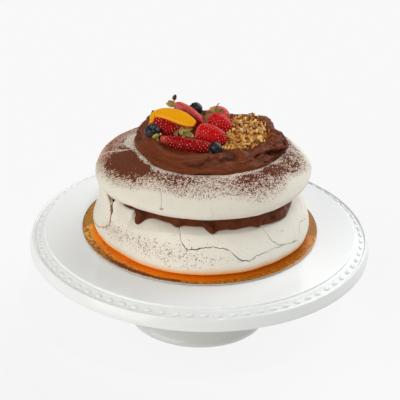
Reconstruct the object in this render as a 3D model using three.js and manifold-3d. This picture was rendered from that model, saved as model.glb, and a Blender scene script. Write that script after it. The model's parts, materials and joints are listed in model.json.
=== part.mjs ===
// Chocolate pavlova on its gold cake board and a footed porcelain cake stand.
// Millimetres, +Z up. The origin is the middle of the stand's foot, the front faces -Y.
// Azimuths are degrees round the Z axis: 0 at the front, growing towards +X (the right).
// Heights called "above the board" start at the board's top face.

import * as THREE from 'three';
import { mergeVertices } from 'three/addons/utils/BufferGeometryUtils.js';
import Module from 'manifold-3d';

const wasm = await Module();
wasm.setup();

// ---------------------------------------------------------------- driving dimensions

const GAP = 0.3; // clearance between pieces that touch

// Cake stand: a plate with a pearl band, on a hollow concave foot
const STAND_HEIGHT = 101;
const PLATE_RADIUS = 174;
const WELL_RADIUS = 158;
const RIM_DROP = 18;
const FOOT_RADIUS = 73;
const NECK_RADIUS = 45;
const CHINA_WALL = 6;
const FOOT_COLUMNS = 26;
const PEARL_COUNT = 3 * FOOT_COLUMNS; // one pearl for each column of the rim
const PEARL_BAND_RADIUS = 165;
const PEARL_BAND_WIDTH = 6.4;
const PEARL_HEIGHT = 2.2;

// Gold cake board
const BOARD_RADIUS = 120;
const BOARD_THICKNESS = 2.4;
const BOARD_COLUMNS = 60;
const BOARD_TOP = STAND_HEIGHT + GAP + BOARD_THICKNESS;

// The meringues sit a little off the middle of the board
const CAKE_SHIFT = { lower: 1.7, filling: 1.9, upper: 2.2 };

// Lower meringue
const LOWER_RADIUS = 110.6;
const LOWER_TOP = 42;
const LOWER_COLUMNS = 48;

// Chocolate filling between the meringues
const FILLING_RADIUS = 87;
const FILLING_COLUMNS = 60;

// Upper meringue, with a crater that holds the cream
const UPPER_BASE = 57.5;
const UPPER_RADIUS = 108;
const UPPER_COLUMNS = 42;
const CRATER_FLOOR = 86;

// Chocolate cream in the crater: a lip round a shallow nest
const CREAM_LIP = 103.5;
const CREAM_NEST = 100;

// ---------------------------------------------------------------- solids and meshes

function solidFrom(geometry) {
  const bare = geometry.clone();
  bare.deleteAttribute('normal');
  bare.deleteAttribute('uv');
  const merged = mergeVertices(bare, 1e-4);
  return new wasm.Manifold(new wasm.Mesh({
    numProp: 3,
    vertProperties: new Float32Array(merged.attributes.position.array),
    triVerts: new Uint32Array(merged.index.array),
  }));
}

function geometryFrom(solid) {
  const mesh = solid.getMesh();
  const geometry = new THREE.BufferGeometry();
  geometry.setAttribute('position', new THREE.BufferAttribute(mesh.vertProperties, 3));
  geometry.setIndex(new THREE.BufferAttribute(mesh.triVerts, 1));
  geometry.computeVertexNormals();
  return geometry;
}

// The largest body of a solid: a cut can leave loose scraps, which are dropped.
function largestBody(solid) {
  const bodies = solid.decompose();
  return bodies.reduce((best, body) => (body.volume() > best.volume() ? body : best));
}

function signedVolume(positions, triangles) {
  const corner = (i) => new THREE.Vector3().fromArray(positions, 3 * i);
  let total = 0;
  for (let t = 0; t < triangles.length; t += 3) {
    const [a, b, c] = [0, 1, 2].map((k) => corner(triangles[t + k]));
    total += a.dot(b.cross(c)) / 6;
  }
  return total;
}

// A closed geometry from points and triangles, turned so that its faces point out.
function closedGeometry(points, triangles) {
  const positions = points.flatMap((p) => [p.x, p.y, p.z]);
  const outward = signedVolume(positions, triangles) > 0;
  const index = outward ? triangles : [...triangles].reverse();
  const geometry = new THREE.BufferGeometry();
  geometry.setAttribute('position', new THREE.Float32BufferAttribute(positions, 3));
  geometry.setIndex(index);
  return geometry;
}

// The strip of triangles between two rings of points. One ring's count divides the other's.
function strip(ringA, ringB) {
  const cells = Math.min(ringA.length, ringB.length);
  const [fanA, fanB] = [ringA.length / cells, ringB.length / cells];
  const at = (ring, i) => ring[i % ring.length];
  const triangles = [];
  for (let cell = 0; cell < cells; cell += 1) {
    const [a, b] = [cell * fanA, cell * fanB];
    const [meetA, meetB] = [a + Math.ceil(fanA / 2), b + Math.floor(fanB / 2)];
    for (let i = a; i < a + fanA; i += 1) {
      triangles.push(at(ringA, i), at(ringA, i + 1), at(ringB, i < meetA ? meetB : b + fanB));
    }
    for (let i = b; i < b + fanB; i += 1) {
      triangles.push(at(ringA, i < meetB ? a : meetA), at(ringB, i + 1), at(ringB, i));
    }
  }
  return triangles;
}

// Triangles through rings in a row, each joined to the next.
function through(rings) {
  return rings.slice(1).flatMap((ring, i) => strip(rings[i], ring));
}

// Triangles that close a ring on one point, which comes before the ring or after it.
function fan(point, ring, comesAfter) {
  return ring.flatMap((corner, i) => {
    const next = ring[(i + 1) % ring.length];
    return comesAfter ? [point, corner, next] : [point, next, corner];
  });
}

// Closed rings of points between two end points. pointAt(row, turn) takes a turn from 0 to 1.
function ringedGeometry(rows, columns, startPoint, endPoint, pointAt) {
  const points = [startPoint, endPoint];
  const rings = Array.from({ length: rows }, (_, row) => (
    Array.from({ length: columns }, (__, column) => (
      points.push(pointAt(row, column / columns)) - 1))));
  const triangles = [...fan(0, rings[0], false), ...through(rings), ...fan(1, rings.at(-1), true)];
  return closedGeometry(points, triangles);
}

// ---------------------------------------------------------------- curves and noise

const radians = THREE.MathUtils.degToRad;

function polar(azimuth, radius, height) {
  const angle = radians(azimuth);
  return new THREE.Vector3(radius * Math.sin(angle), -radius * Math.cos(angle), BOARD_TOP + height);
}

// Points at even steps along a smooth line through [radius, height] pairs.
function smoothProfile(pairs, rows) {
  const knots = pairs.map(([radius, height]) => new THREE.Vector3(radius, height, 0));
  const curve = new THREE.CatmullRomCurve3(knots, false, 'centripetal');
  return curve.getSpacedPoints(rows - 1).map((p) => [p.x, p.y]);
}

// A value round the cake from one number for each equal sector, joined smoothly.
function roundTheCake(values) {
  return (azimuth) => {
    const position = ((((azimuth / 360) % 1) + 1) % 1) * values.length;
    const index = Math.floor(position);
    const at = (k) => values[(index + k + values.length) % values.length];
    const t = position - index;
    const [a, b, c, d] = [at(-1), at(0), at(1), at(2)];
    return b + 0.5 * t * (c - a + t * (2 * a - 5 * b + 4 * c - d + t * (3 * (b - c) + d - a)));
  };
}

// Smooth unevenness between about -1 and 1, different for each seed.
function uneven(azimuth, height, seed) {
  const a = radians(azimuth);
  return 0.45 * Math.sin(3 * a + seed + 0.03 * height)
    + 0.3 * Math.sin(5 * a + 2.1 * seed - 0.06 * height)
    + 0.25 * Math.sin(8 * a + 3.7 * seed + 0.11 * height);
}

function seededRandom(seed) {
  let state = seed;
  return () => {
    state = (state * 1664525 + 1013904223) % 4294967296;
    return state / 4294967296;
  };
}

// A sum of rounded bumps of { azimuth, reach, width }.
function bumps(azimuth, list) {
  return list.reduce((sum, { azimuth: middle, reach, width }) => {
    const away = (((azimuth - middle + 540) % 360) - 180) / width;
    return sum + reach * Math.exp(-away * away);
  }, 0);
}

// A round of food: rings that follow profileAt(azimuth), closed at the axis below and above.
function foodRound(columns, rows, profileAt, shift) {
  const profiles = [];
  for (let column = 0; column < columns; column += 1) {
    profiles.push(smoothProfile(profileAt((360 * column) / columns), rows));
  }
  const floor = profiles.reduce((sum, profile) => sum + profile[0][1], 0) / columns;
  const roof = profiles.reduce((sum, profile) => sum + profile[rows - 1][1], 0) / columns;
  const place = (azimuth, radius, height) => polar(azimuth, radius, height).setX(
    polar(azimuth, radius, height).x + shift,
  );
  return ringedGeometry(rows, columns, place(0, 0, floor), place(0, 0, roof), (row, turn) => {
    const [radius, height] = profiles[Math.round(turn * columns)][row];
    return place(360 * turn, radius, height);
  });
}

// ---------------------------------------------------------------- cake stand and board

// The stand's outline as rings of [radius, height], from the middle of the plate's top round to
// the hollow of the foot. The rim has a column for each pearl, the rest has a third of them.
function standOutline() {
  const top = STAND_HEIGHT;
  const lip = top - RIM_DROP;
  const foot = FOOT_RADIUS;
  const neck = NECK_RADIUS;
  const band = 0.5 * PEARL_BAND_WIDTH;
  return {
    well: [[WELL_RADIUS - 8, top]],
    insideBand: [
      [WELL_RADIUS, top - 1], [WELL_RADIUS + 2, top - 2.8], [PEARL_BAND_RADIUS - band, top - 3.3],
    ],
    outsideBand: [
      [PEARL_BAND_RADIUS + band, top - 6.1], [PLATE_RADIUS - 4.5, top - 5.4],
      [PLATE_RADIUS - 2.8, top - 6.8], [PLATE_RADIUS - 0.5, top - 11.5], [PLATE_RADIUS, lip + 1.5],
      [PLATE_RADIUS - 2.5, lip],
    ],
    footAndHollow: [
      [140, top - 10], [95, top - 8.5], [neck + 30, top - 13], [neck + 11, top - 25],
      [neck, top - 48], [neck + 6, 32], [foot - 10, 13], [foot - 0.5, 3.5],
      [foot, 0], [foot - CHINA_WALL, 0], [foot - 16, 13], [neck, 32], [neck - CHINA_WALL, top - 48],
      [neck - 15, top - 17],
    ],
  };
}

// One pearl in its cell of the band: a six-sided dome with a short ridge. The cell's corners are
// point numbers in the order inner left, inner right, outer left, outer right.
function addPearl(points, cell) {
  const [a, b, c, d] = cell.map((i) => points[i]);
  const outwards = new THREE.Vector3().subVectors(c, a).cross(new THREE.Vector3().subVectors(b, a));
  outwards.normalize();
  const place = (along, across, raised) => points.push(
    a.clone().lerp(b, along).lerp(c.clone().lerp(d, along), across)
      .addScaledVector(outwards, raised),
  ) - 1;
  const edge = [[0.1, 0.5], [0.3, 0.06], [0.7, 0.06], [0.9, 0.5], [0.7, 0.94], [0.3, 0.94]]
    .map(([along, across]) => place(along, across, 0));
  const ridge = [0.33, 0.67].map((along) => place(along, 0.5, PEARL_HEIGHT));
  const [left, right] = ridge;
  const [e0, e1, e2, e3, e4, e5] = edge;
  const [p, q, r, s] = cell;
  return [
    [p, q, e2], [p, e2, e1], [q, s, e3], [q, e3, e2], [s, e4, e3], [s, r, e5], [s, e5, e4],
    [r, p, e0], [p, e1, e0], [r, e0, e5], [e0, e1, left], [e1, e2, right], [e1, right, left],
    [e2, e3, right], [e3, e4, right], [e4, e5, left], [e4, left, right], [e5, e0, left],
  ].flat();
}

function standGeometry() {
  const points = [
    new THREE.Vector3(0, 0, STAND_HEIGHT), new THREE.Vector3(0, 0, STAND_HEIGHT - 12),
  ];
  const ringOf = (columns) => ([radius, height]) => Array.from({ length: columns }, (_, column) => (
    points.push(polar((360 * column) / columns, radius, 0).setZ(height)) - 1));
  const { well, insideBand, outsideBand, footAndHollow } = standOutline();
  const above = [...well.map(ringOf(FOOT_COLUMNS)), ...insideBand.map(ringOf(PEARL_COUNT))];
  const below = [...outsideBand.map(ringOf(PEARL_COUNT)), ...footAndHollow.map(ringOf(FOOT_COLUMNS))];
  const [inner, outer] = [above.at(-1), below[0]];
  const pearls = inner.flatMap((point, i) => {
    const next = (i + 1) % PEARL_COUNT;
    return addPearl(points, [point, inner[next], outer[i], outer[next]]);
  });
  return closedGeometry(points, [
    ...fan(0, above[0], false), ...through(above), ...pearls, ...through(below),
    ...fan(1, below.at(-1), true),
  ]);
}

function boardGeometry() {
  const bottom = STAND_HEIGHT + GAP;
  const outline = [[0, bottom], [BOARD_RADIUS, bottom], [BOARD_RADIUS, BOARD_TOP], [0, BOARD_TOP]];
  const lathe = new THREE.LatheGeometry(
    outline.map(([radius, height]) => new THREE.Vector2(radius, height)), BOARD_COLUMNS,
  );
  lathe.rotateX(Math.PI / 2);
  return geometryFrom(solidFrom(lathe));
}

// ---------------------------------------------------------------- meringues and filling

function lowerProfileAt(azimuth) {
  const r = LOWER_RADIUS + 1.6 * uneven(azimuth, 0, 1.3);
  const high = LOWER_TOP + 0.6 * uneven(azimuth, 40, 4.1);
  return [
    [r - 9, GAP], [r - 6, 0.8], [r - 2, 3.4], [r, 9.5], [r - 1.2, 15.5], [r - 4, 22.5],
    [r - 10, 30], [r - 18, 37], [r - 26, high - 1], [r - 33, high],
  ];
}

// Height of the lower meringue's shoulder at a radius, where the filling lies on it.
function lowerShoulder(azimuth, radius) {
  const knots = lowerProfileAt(azimuth).slice(5).reverse();
  const inner = knots.findLastIndex(([r]) => r <= radius);
  if (inner < 0) return knots[0][1];
  const [[r0, z0], [r1, z1]] = [knots[inner], knots[Math.min(inner + 1, knots.length - 1)]];
  return r1 === r0 ? z0 : z0 + ((z1 - z0) * (radius - r0)) / (r1 - r0);
}

// Radius of the lower meringue's side at a height, where the cracks run.
function lowerSide(azimuth, height) {
  const profile = smoothProfile(lowerProfileAt(azimuth), 60);
  return profile.reduce((best, point) => (
    Math.abs(point[1] - height) < Math.abs(best[1] - height) ? point : best))[0];
}

const LOWER_CRACKS = [
  { // the wide fissure at the left, open to the caramelised inside
    width: 4.6,
    depth: 7,
    path: [[-78, 38.5], [-73, 35], [-66, 32], [-62, 28], [-60, 24], [-66, 16], [-73, 12]],
  },
  { // the long crack across the front
    width: 1.5,
    depth: 2.2,
    path: [
      [-13.6, 39], [-11, 33], [-7.5, 27], [-2, 28], [5, 29.3], [15, 27], [17.5, 22.5], [21.5, 16.5],
      [25.5, 14], [29.5, 17.5], [41, 19.3], [51, 18],
    ],
  },
  { width: 1.4, depth: 2, path: [[40, 35], [41.5, 28], [44, 21.5], [50, 18], [57, 15.2]] },
  { width: 1.3, depth: 2, path: [[78, 22.5], [70, 25.5], [65, 24], [62, 17.5]] },
  { width: 1.4, depth: 2, path: [[128, 36], [134, 27], [141, 24], [149, 16], [158, 13]] },
  { width: 1.4, depth: 2, path: [[-118, 37], [-125, 30], [-136, 27], [-141, 18], [-152, 15]] },
];

// A three-sided blade that follows a line of surface points, to cut a crack.
function crackBlade({ path, width, depth }) {
  const knots = path.map(([azimuth, height]) => (
    polar(azimuth, lowerSide(azimuth, height), height).add(new THREE.Vector3(CAKE_SHIFT.lower, 0, 0))));
  const normals = path.map(([azimuth, height]) => {
    const lean = THREE.MathUtils.clamp((height - 9) / 28, -0.4, 0.9);
    return polar(azimuth, 1, 0).setZ(lean).normalize();
  });
  const points = [];
  knots.forEach((knot, i) => {
    const ahead = knots[Math.min(i + 1, knots.length - 1)];
    const behind = knots[Math.max(i - 1, 0)];
    const across = new THREE.Vector3().subVectors(ahead, behind).cross(normals[i]).normalize();
    const isEnd = i === 0 || i === knots.length - 1;
    const half = (isEnd ? 0.35 : 0.5) * width;
    const proud = 0.8 * width + 1.2;
    const widen = (depth + proud) / depth;
    points.push(knot.clone().addScaledVector(normals[i], proud).addScaledVector(across, half * widen));
    points.push(knot.clone().addScaledVector(normals[i], proud).addScaledVector(across, -half * widen));
    points.push(knot.clone().addScaledVector(normals[i], isEnd ? -0.5 * depth : -depth));
  });
  const triangles = [0, 1, 2];
  for (let i = 0; i < knots.length - 1; i += 1) {
    for (let side = 0; side < 3; side += 1) {
      const [a, b] = [3 * i + side, 3 * i + ((side + 1) % 3)];
      triangles.push(a, a + 3, b, b, a + 3, b + 3);
    }
  }
  const last = 3 * (knots.length - 1);
  triangles.push(last, last + 2, last + 1);
  return solidFrom(closedGeometry(points, triangles));
}

function lowerMeringueGeometry() {
  const body = solidFrom(foodRound(LOWER_COLUMNS, 11, lowerProfileAt, CAKE_SHIFT.lower));
  const cracked = LOWER_CRACKS.reduce((solid, crack) => solid.subtract(crackBlade(crack)), body);
  return geometryFrom(largestBody(cracked));
}

// Where the filling hangs over the lower meringue in lobes and drips.
const FILLING_DRIPS = [
  { azimuth: -62, reach: -2, width: 9 },
  { azimuth: -40, reach: 8.5, width: 4 },
  { azimuth: -17, reach: 2.4, width: 5 },
  { azimuth: 5.5, reach: 7.5, width: 5 },
  { azimuth: 32, reach: 5.5, width: 16 },
  { azimuth: 62, reach: 6.5, width: 18 },
  { azimuth: 118, reach: 3.5, width: 8 },
  { azimuth: 160, reach: 4, width: 10 },
  { azimuth: -140, reach: 4.5, width: 7 },
  { azimuth: -105, reach: 2.5, width: 9 },
];

function fillingProfileAt(azimuth) {
  const r = FILLING_RADIUS + bumps(azimuth, FILLING_DRIPS) + 0.8 * uneven(azimuth, 0, 2.6);
  const onShoulder = lowerShoulder(azimuth, r - 1) + 1.4;
  const bed = LOWER_TOP + 1.2;
  return [
    [70, bed], [r - 9, Math.max(bed - 0.1, lowerShoulder(azimuth, r - 9) + 1)], [r - 1.5, onShoulder],
    [r, onShoulder + 2.2], [r - 0.5, 0.5 * (onShoulder + UPPER_BASE) + 1], [r - 2, UPPER_BASE - 2.5],
    [r - 4.5, UPPER_BASE - GAP - 0.4], [r - 10, UPPER_BASE - GAP],
  ];
}

function fillingGeometry() {
  return geometryFrom(solidFrom(
    foodRound(FILLING_COLUMNS, 7, fillingProfileAt, CAKE_SHIFT.filling),
  ));
}

// Outer edge of the cream, every 30 degrees from the front round to the right.
const creamReach = roundTheCake([78, 76, 78.5, 82.5, 75.5, 66.5, 70, 70, 72.5, 70.5, 71.5, 79]);

// The crater's rim lies just inside the cream's edge. It is highest at the front left.
const rimHeight = roundTheCake([92.8, 92.6, 90.8, 88.5, 89, 89.5, 88, 87, 87, 90.5, 93.6, 93.2]);

function craterRim(azimuth) {
  return { radius: creamReach(azimuth) - 1.5, height: rimHeight(azimuth) };
}

// The crater's wall from the rim down to its floor, raised by a clearance.
function craterWall({ radius, height }, raised) {
  const deep = height - CRATER_FLOOR;
  return [
    [radius - 4, height - 0.25 * deep + raised], [radius - 14, CRATER_FLOOR + 0.2 * deep + raised],
    [0.55 * radius, CRATER_FLOOR + raised],
  ];
}

const UPPER_SAG = [{ azimuth: -128, reach: -3.6, width: 42 }]; // the shoulder sinks at the back left

function upperProfileAt(azimuth) {
  const rim = craterRim(azimuth);
  const r = UPPER_RADIUS + 1.4 * uneven(azimuth, 0, 5.2);
  const swell = 0.9 * uneven(azimuth, 30, 0.7) + bumps(azimuth, UPPER_SAG);
  return [
    [r - 11, UPPER_BASE], [r - 4.5, UPPER_BASE + 1.4], [r - 0.6, UPPER_BASE + 5], [r, UPPER_BASE + 9],
    [r - 2.8, 71.5], [r - 8, 76.7 + swell], [r - 15.5, 82.2 + swell],
    [0.5 * (r - 15.5 + rim.radius + 3), 0.5 * (82.2 + rim.height) + 1 + swell],
    [rim.radius + 3, rim.height - 0.9], [rim.radius, rim.height],
    ...craterWall(rim, 0),
  ];
}

function upperMeringueGeometry() {
  return geometryFrom(solidFrom(foodRound(UPPER_COLUMNS, 13, upperProfileAt, CAKE_SHIFT.upper)));
}

// ---------------------------------------------------------------- cream

// Spatula swirls: the wall of the cream moves in and out in long slanted ridges.
function creamSwirl(azimuth, height) {
  return 0.9 * uneven(azimuth + 2.2 * height, 4 * height, 3.3);
}

const CREAM_CLODS = [ // rough clods that stand out of the edge, and a bite-like notch
  { azimuth: 88, reach: 3.5, width: 11 },
  { azimuth: 118, reach: 3, width: 7 },
  { azimuth: 105, reach: -4, width: 5 },
  { azimuth: -122, reach: 2.5, width: 9 },
];

const CREAM_DIPS = [{ azimuth: 165, reach: -2.5, width: 26 }]; // the lip is lower at the back

function creamProfileAt(azimuth) {
  const rim = craterRim(azimuth);
  const reach = creamReach(azimuth);
  const clod = bumps(azimuth, CREAM_CLODS);
  const lip = CREAM_LIP + 0.9 * uneven(azimuth, 0, 7.7) + 0.35 * clod + bumps(azimuth, CREAM_DIPS);
  const wall = (inset, height) => [reach - inset + clod + creamSwirl(azimuth, height), height];
  return [
    ...craterWall(rim, 0.8).reverse(), [rim.radius - 0.5, rim.height + 0.9],
    wall(1.5, rim.height + 3.2), wall(4, 0.6 * rim.height + 0.4 * lip), wall(8.5, lip - 1.8),
    wall(13.5, lip), wall(19, lip - 1.2),
    [reach - 27, CREAM_NEST + 0.5 * uneven(azimuth, 0, 9.1)], [0.4 * reach, CREAM_NEST],
  ];
}

function creamSolid() {
  return solidFrom(foodRound(UPPER_COLUMNS, 13, creamProfileAt, CAKE_SHIFT.upper));
}

// ---------------------------------------------------------------- fruit

const above = (x, y, height) => new THREE.Vector3(x, y, BOARD_TOP + height);

// Turns a shape modelled along +Z so that it runs from one point towards another.
function aim(geometry, from, towards, spin = 0) {
  const direction = new THREE.Vector3().subVectors(towards, from).normalize();
  const turn = new THREE.Quaternion().setFromUnitVectors(new THREE.Vector3(0, 0, 1), direction);
  geometry.rotateZ(radians(spin));
  geometry.applyQuaternion(turn);
  geometry.translate(from.x, from.y, from.z);
  return geometry;
}

// A closed round body along +Z from [radius, height] pairs; the ends close on the axis.
function spunGeometry(pairs, columns, squash = 1) {
  const rows = pairs.slice(1, -1);
  const end = ([, height]) => new THREE.Vector3(0, 0, height);
  return ringedGeometry(rows.length, columns, end(pairs[0]), end(pairs.at(-1)), (row, turn) => {
    const [radius, height] = rows[row];
    const angle = 2 * Math.PI * turn;
    return new THREE.Vector3(radius * Math.cos(angle), squash * radius * Math.sin(angle), height);
  });
}

function strawberryBody({ cap, tip, radius, squash = 1, spin = 0 }, grow) {
  const length = cap.distanceTo(tip);
  const shape = [ // share of the radius, share of the length
    [0, 0.02], [0.5, 0], [0.86, 0.1], [1, 0.27], [0.96, 0.46], [0.78, 0.66], [0.52, 0.84],
    [0.25, 0.965], [0, 1],
  ];
  const profile = shape.map(([r, z]) => [
    r === 0 ? 0 : r * radius + grow, z * (length + 2 * grow) - grow,
  ]);
  return solidFrom(aim(spunGeometry(profile, 10, squash), cap, tip, spin));
}

// One pointed leaf of the green cap, curling away from the berry.
function capLeaf({ cap, tip }, leafLength, turn, curl, grow) {
  const thick = 0.9 + 2 * grow;
  const rows = [0.08, 0.4, 0.75].map((t) => ({
    out: t * leafLength, wide: (0.9 + 2.6 * Math.sin(Math.PI * (0.15 + 0.8 * t))) + grow,
    rise: -1.2 + curl * t * t * leafLength,
  }));
  const end = (out, rise) => new THREE.Vector3(out, 0, -rise);
  const leaf = ringedGeometry(3, 4, end(-0.8, -1.2), end(leafLength, curl * leafLength), (row, at) => {
    const { out, wide, rise } = rows[row];
    const angle = 2 * Math.PI * at;
    return new THREE.Vector3(out, wide * 0.8 * Math.cos(angle), -rise + 0.5 * thick * Math.sin(angle));
  });
  leaf.rotateZ(radians(turn));
  return solidFrom(aim(leaf, cap, tip));
}

function stalk(from, to, radius, grow) {
  const length = from.distanceTo(to);
  const r = radius + grow;
  const pairs = [[0, -1], [r, -1], [r, 0.55 * length], [1.35 * r, 0.75 * length], [r, length], [0, length]];
  return solidFrom(aim(spunGeometry(pairs, 6), from, to));
}

function strawberry(berry, grow) {
  let solid = strawberryBody(berry, grow);
  if (berry.cutFacing) solid = solid.subtract(halvingBlock(berry, grow));
  const parts = [solid];
  const { leaves = 0, leafLength = 8, curl = 0.35, skipTurns = [] } = berry;
  for (let k = 0; k < leaves; k += 1) {
    if (skipTurns.includes(k)) continue;
    parts.push(capLeaf(berry, leafLength, (360 * k) / leaves + 12, curl, grow));
  }
  if (berry.stalkTo) parts.push(stalk(berry.cap, berry.stalkTo, berry.stalkRadius, grow));
  return wasm.Manifold.union(parts);
}

// A block whose face halves the berry lengthwise, a little off its axis.
function halvingBlock({ cap, tip, cutFacing, cutOffset }, grow) {
  const size = 80;
  const along = new THREE.Vector3().subVectors(tip, cap).normalize();
  const facing = cutFacing.clone().addScaledVector(along, -cutFacing.dot(along)).normalize();
  const block = new THREE.BoxGeometry(size, size, size);
  const centre = new THREE.Vector3().addVectors(cap, tip).multiplyScalar(0.5)
    .addScaledVector(facing, size / 2 + cutOffset + grow);
  return solidFrom(aim(block, centre, centre.clone().add(facing)));
}

function blueberry({ centre, radius, facing }, grow) {
  const r = radius + grow;
  const crown = 0.36 * radius;
  const pairs = [[0, -r]];
  for (let step = 1; step <= 4; step += 1) {
    const angle = Math.PI * (0.5 - step / 5.5);
    pairs.push([r * Math.cos(angle), -r * Math.sin(angle)]);
  }
  pairs.push([crown + 0.5 + grow, 1.04 * r], [crown - 0.8, 1.02 * r], [crown - 1.2, 0.88 * r], [0, 0.86 * r]);
  return solidFrom(aim(spunGeometry(pairs, 12), centre, centre.clone().add(facing)));
}

// A crescent of mango: a wedge swept along an arch, thick in the middle, thin at its ends.
function mangoSlice({ ends, middle, width, thickness }, grow) {
  const [left, right] = ends;
  const arch = new THREE.QuadraticBezierCurve3(
    left, middle.clone().multiplyScalar(2).addScaledVector(left, -0.5).addScaledVector(right, -0.5), right,
  );
  const rows = 11;
  const outward = new THREE.Vector3(0.1, 0.82, 0.56).normalize();
  const sectionAt = (row, turn) => {
    const t = (row + 0.7) / (rows + 0.4);
    const full = Math.sin(Math.PI * t) ** 0.55;
    const along = arch.getTangent(t);
    const side = outward.clone().addScaledVector(along, -outward.dot(along)).normalize();
    const face = new THREE.Vector3().crossVectors(along, side);
    const angle = 2 * Math.PI * turn;
    const wedge = 0.75 + 0.25 * Math.sin(angle); // thicker towards the inner edge
    return arch.getPoint(t)
      .addScaledVector(side, -(0.5 * width * full + grow) * Math.sin(angle))
      .addScaledVector(face, (0.5 * thickness * full * wedge + grow) * Math.cos(angle));
  };
  return solidFrom(ringedGeometry(rows, 8, arch.getPoint(0), arch.getPoint(1), sectionAt));
}

const STRAWBERRIES = {
  strawberry_big: {
    cap: above(-5, -13, 110), tip: above(25, -33, 106.5), radius: 12.5, leaves: 6, leafLength: 9, curl: 0.2,
  },
  strawberry_front: {
    cap: above(-42, -28, 104.8), tip: above(3.5, -43.5, 105), radius: 7.3, squash: 1.3,
    leaves: 5, leafLength: 5, curl: 0.9,
  },
  strawberry_right: {
    cap: above(3, 17.5, 110), tip: above(30, -3.5, 106), radius: 11.5, leaves: 6, leafLength: 7,
  },
  strawberry_back: {
    cap: above(13.5, 24, 111), tip: above(17, 43, 93), radius: 12.3, leaves: 6, leafLength: 8,
    stalkTo: above(15.3, 23, 121), stalkRadius: 0.5,
  },
  strawberry_half: {
    cap: above(-32, 33, 114), tip: above(2, 7, 103), radius: 11, leaves: 6, leafLength: 7,
    stalkTo: above(-29, 40, 124.5), stalkRadius: 0.9,
    cutFacing: new THREE.Vector3(-0.5, -0.75, 0.45), cutOffset: -1,
  },
  strawberry_left: { cap: above(-51, 9, 105), tip: above(-23, -4, 104), radius: 10.5 },
};

const BLUEBERRIES = {
  blueberry_left: { centre: above(-49.6, -10.5, 108), radius: 8, facing: new THREE.Vector3(0.2, -0.3, 1) },
  blueberry_back: { centre: above(-8, 46, 107.5), radius: 6.8, facing: new THREE.Vector3(-0.6, -0.5, 0.7) },
  blueberry_front: { centre: above(12.5, -41.5, 106.5), radius: 7.4, facing: new THREE.Vector3(-0.9, -1, 0.1) },
};

const MANGO_SLICE = {
  ends: [above(-52, -8, 113), above(-5, -16, 116)], middle: above(-32, 3, 120), width: 13.5, thickness: 9,
};

// ---------------------------------------------------------------- chopped nuts

const NUTS_CENTRE = { x: 42.5, y: 7.5 };
const NUTS_LONG = 41; // half length of the heap, front to back
const NUTS_SHORT = 22.5;
const NUTS_TURN = 10; // degrees the heap's length leans to the right at the back
const NUTS_TOP = 105;
const NUT_CHIPS = 31;

function nutsMound(grow) {
  const pairs = [
    [0, -6 - grow], [0.8, -6 - grow], [1, -3], [0.9, 1.3 + grow], [0.6, 3.4 + grow], [0, 4 + grow],
  ];
  const mound = spunGeometry(pairs, 16);
  mound.scale(NUTS_SHORT - 2 + grow, NUTS_LONG - 2 + grow, 1);
  mound.rotateZ(radians(-NUTS_TURN));
  mound.translate(NUTS_CENTRE.x, NUTS_CENTRE.y, BOARD_TOP + NUTS_TOP - 4);
  return solidFrom(mound);
}

// One chip: a box with its corners pushed about, 3 to 7 mm across.
function nutChip(random) {
  const chip = new THREE.BoxGeometry(1, 1, 1);
  const seat = random() * 2 * Math.PI;
  const share = Math.sqrt(random());
  const size = 3.4 + 3.2 * random() * random();
  chip.scale(size * (0.9 + 0.6 * random()), size, size * (0.55 + 0.35 * random()));
  chip.applyMatrix4(new THREE.Matrix4().makeShear(0.4 * random(), 0, 0.3 * random(), 0, 0.3, 0));
  chip.rotateX(1.4 * random());
  chip.rotateY(1.4 * random());
  chip.rotateZ(6 * random());
  const spot = new THREE.Vector3(
    (NUTS_SHORT - 4) * share * Math.cos(seat), (NUTS_LONG - 4) * share * Math.sin(seat), 0,
  ).applyAxisAngle(new THREE.Vector3(0, 0, 1), radians(-NUTS_TURN));
  const height = NUTS_TOP + 0.9 - 2.2 * share ** 3;
  chip.translate(NUTS_CENTRE.x + spot.x, NUTS_CENTRE.y + spot.y, BOARD_TOP + height);
  return solidFrom(chip);
}

function nutsSolid() {
  const random = seededRandom(19);
  const chips = Array.from({ length: NUT_CHIPS }, () => nutChip(random));
  const clearOfCream = wasm.Manifold.union(chips).subtract(creamSolid().translate([0, 0, GAP]));
  return nutsMound(0).add(clearOfCream);
}

// ---------------------------------------------------------------- assembly

const pavlova = new THREE.Group();

function addPiece(name, geometry, color, roughness, metalness = 0) {
  const material = new THREE.MeshStandardMaterial({ color, roughness, metalness });
  const mesh = new THREE.Mesh(geometry, material);
  mesh.name = name;
  pavlova.add(mesh);
}

// Each topping is a function of how far it is grown: grown ones cut room in what holds them.
const toppings = [
  ...Object.entries(BLUEBERRIES).map(([name, berry]) => (
    { name, color: 0x2b2f3f, shape: (grow) => blueberry(berry, grow) })),
  { name: 'mango_slice', color: 0xe69c0a, shape: (grow) => mangoSlice(MANGO_SLICE, grow) },
  ...Object.entries(STRAWBERRIES).map(([name, berry]) => (
    { name, color: 0x940f12, shape: (grow) => strawberry(berry, grow) })),
];

addPiece('cake_stand', standGeometry(), 0xe4e5e0, 0.12);
addPiece('cake_board', boardGeometry(), 0xc8862c, 0.25, 0.9);
addPiece('meringue_lower', lowerMeringueGeometry(), 0xdfdccc, 0.7);
addPiece('chocolate_filling', fillingGeometry(), 0x502b1b, 0.5);
addPiece('meringue_upper', upperMeringueGeometry(), 0xddd6c6, 0.7);

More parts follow.
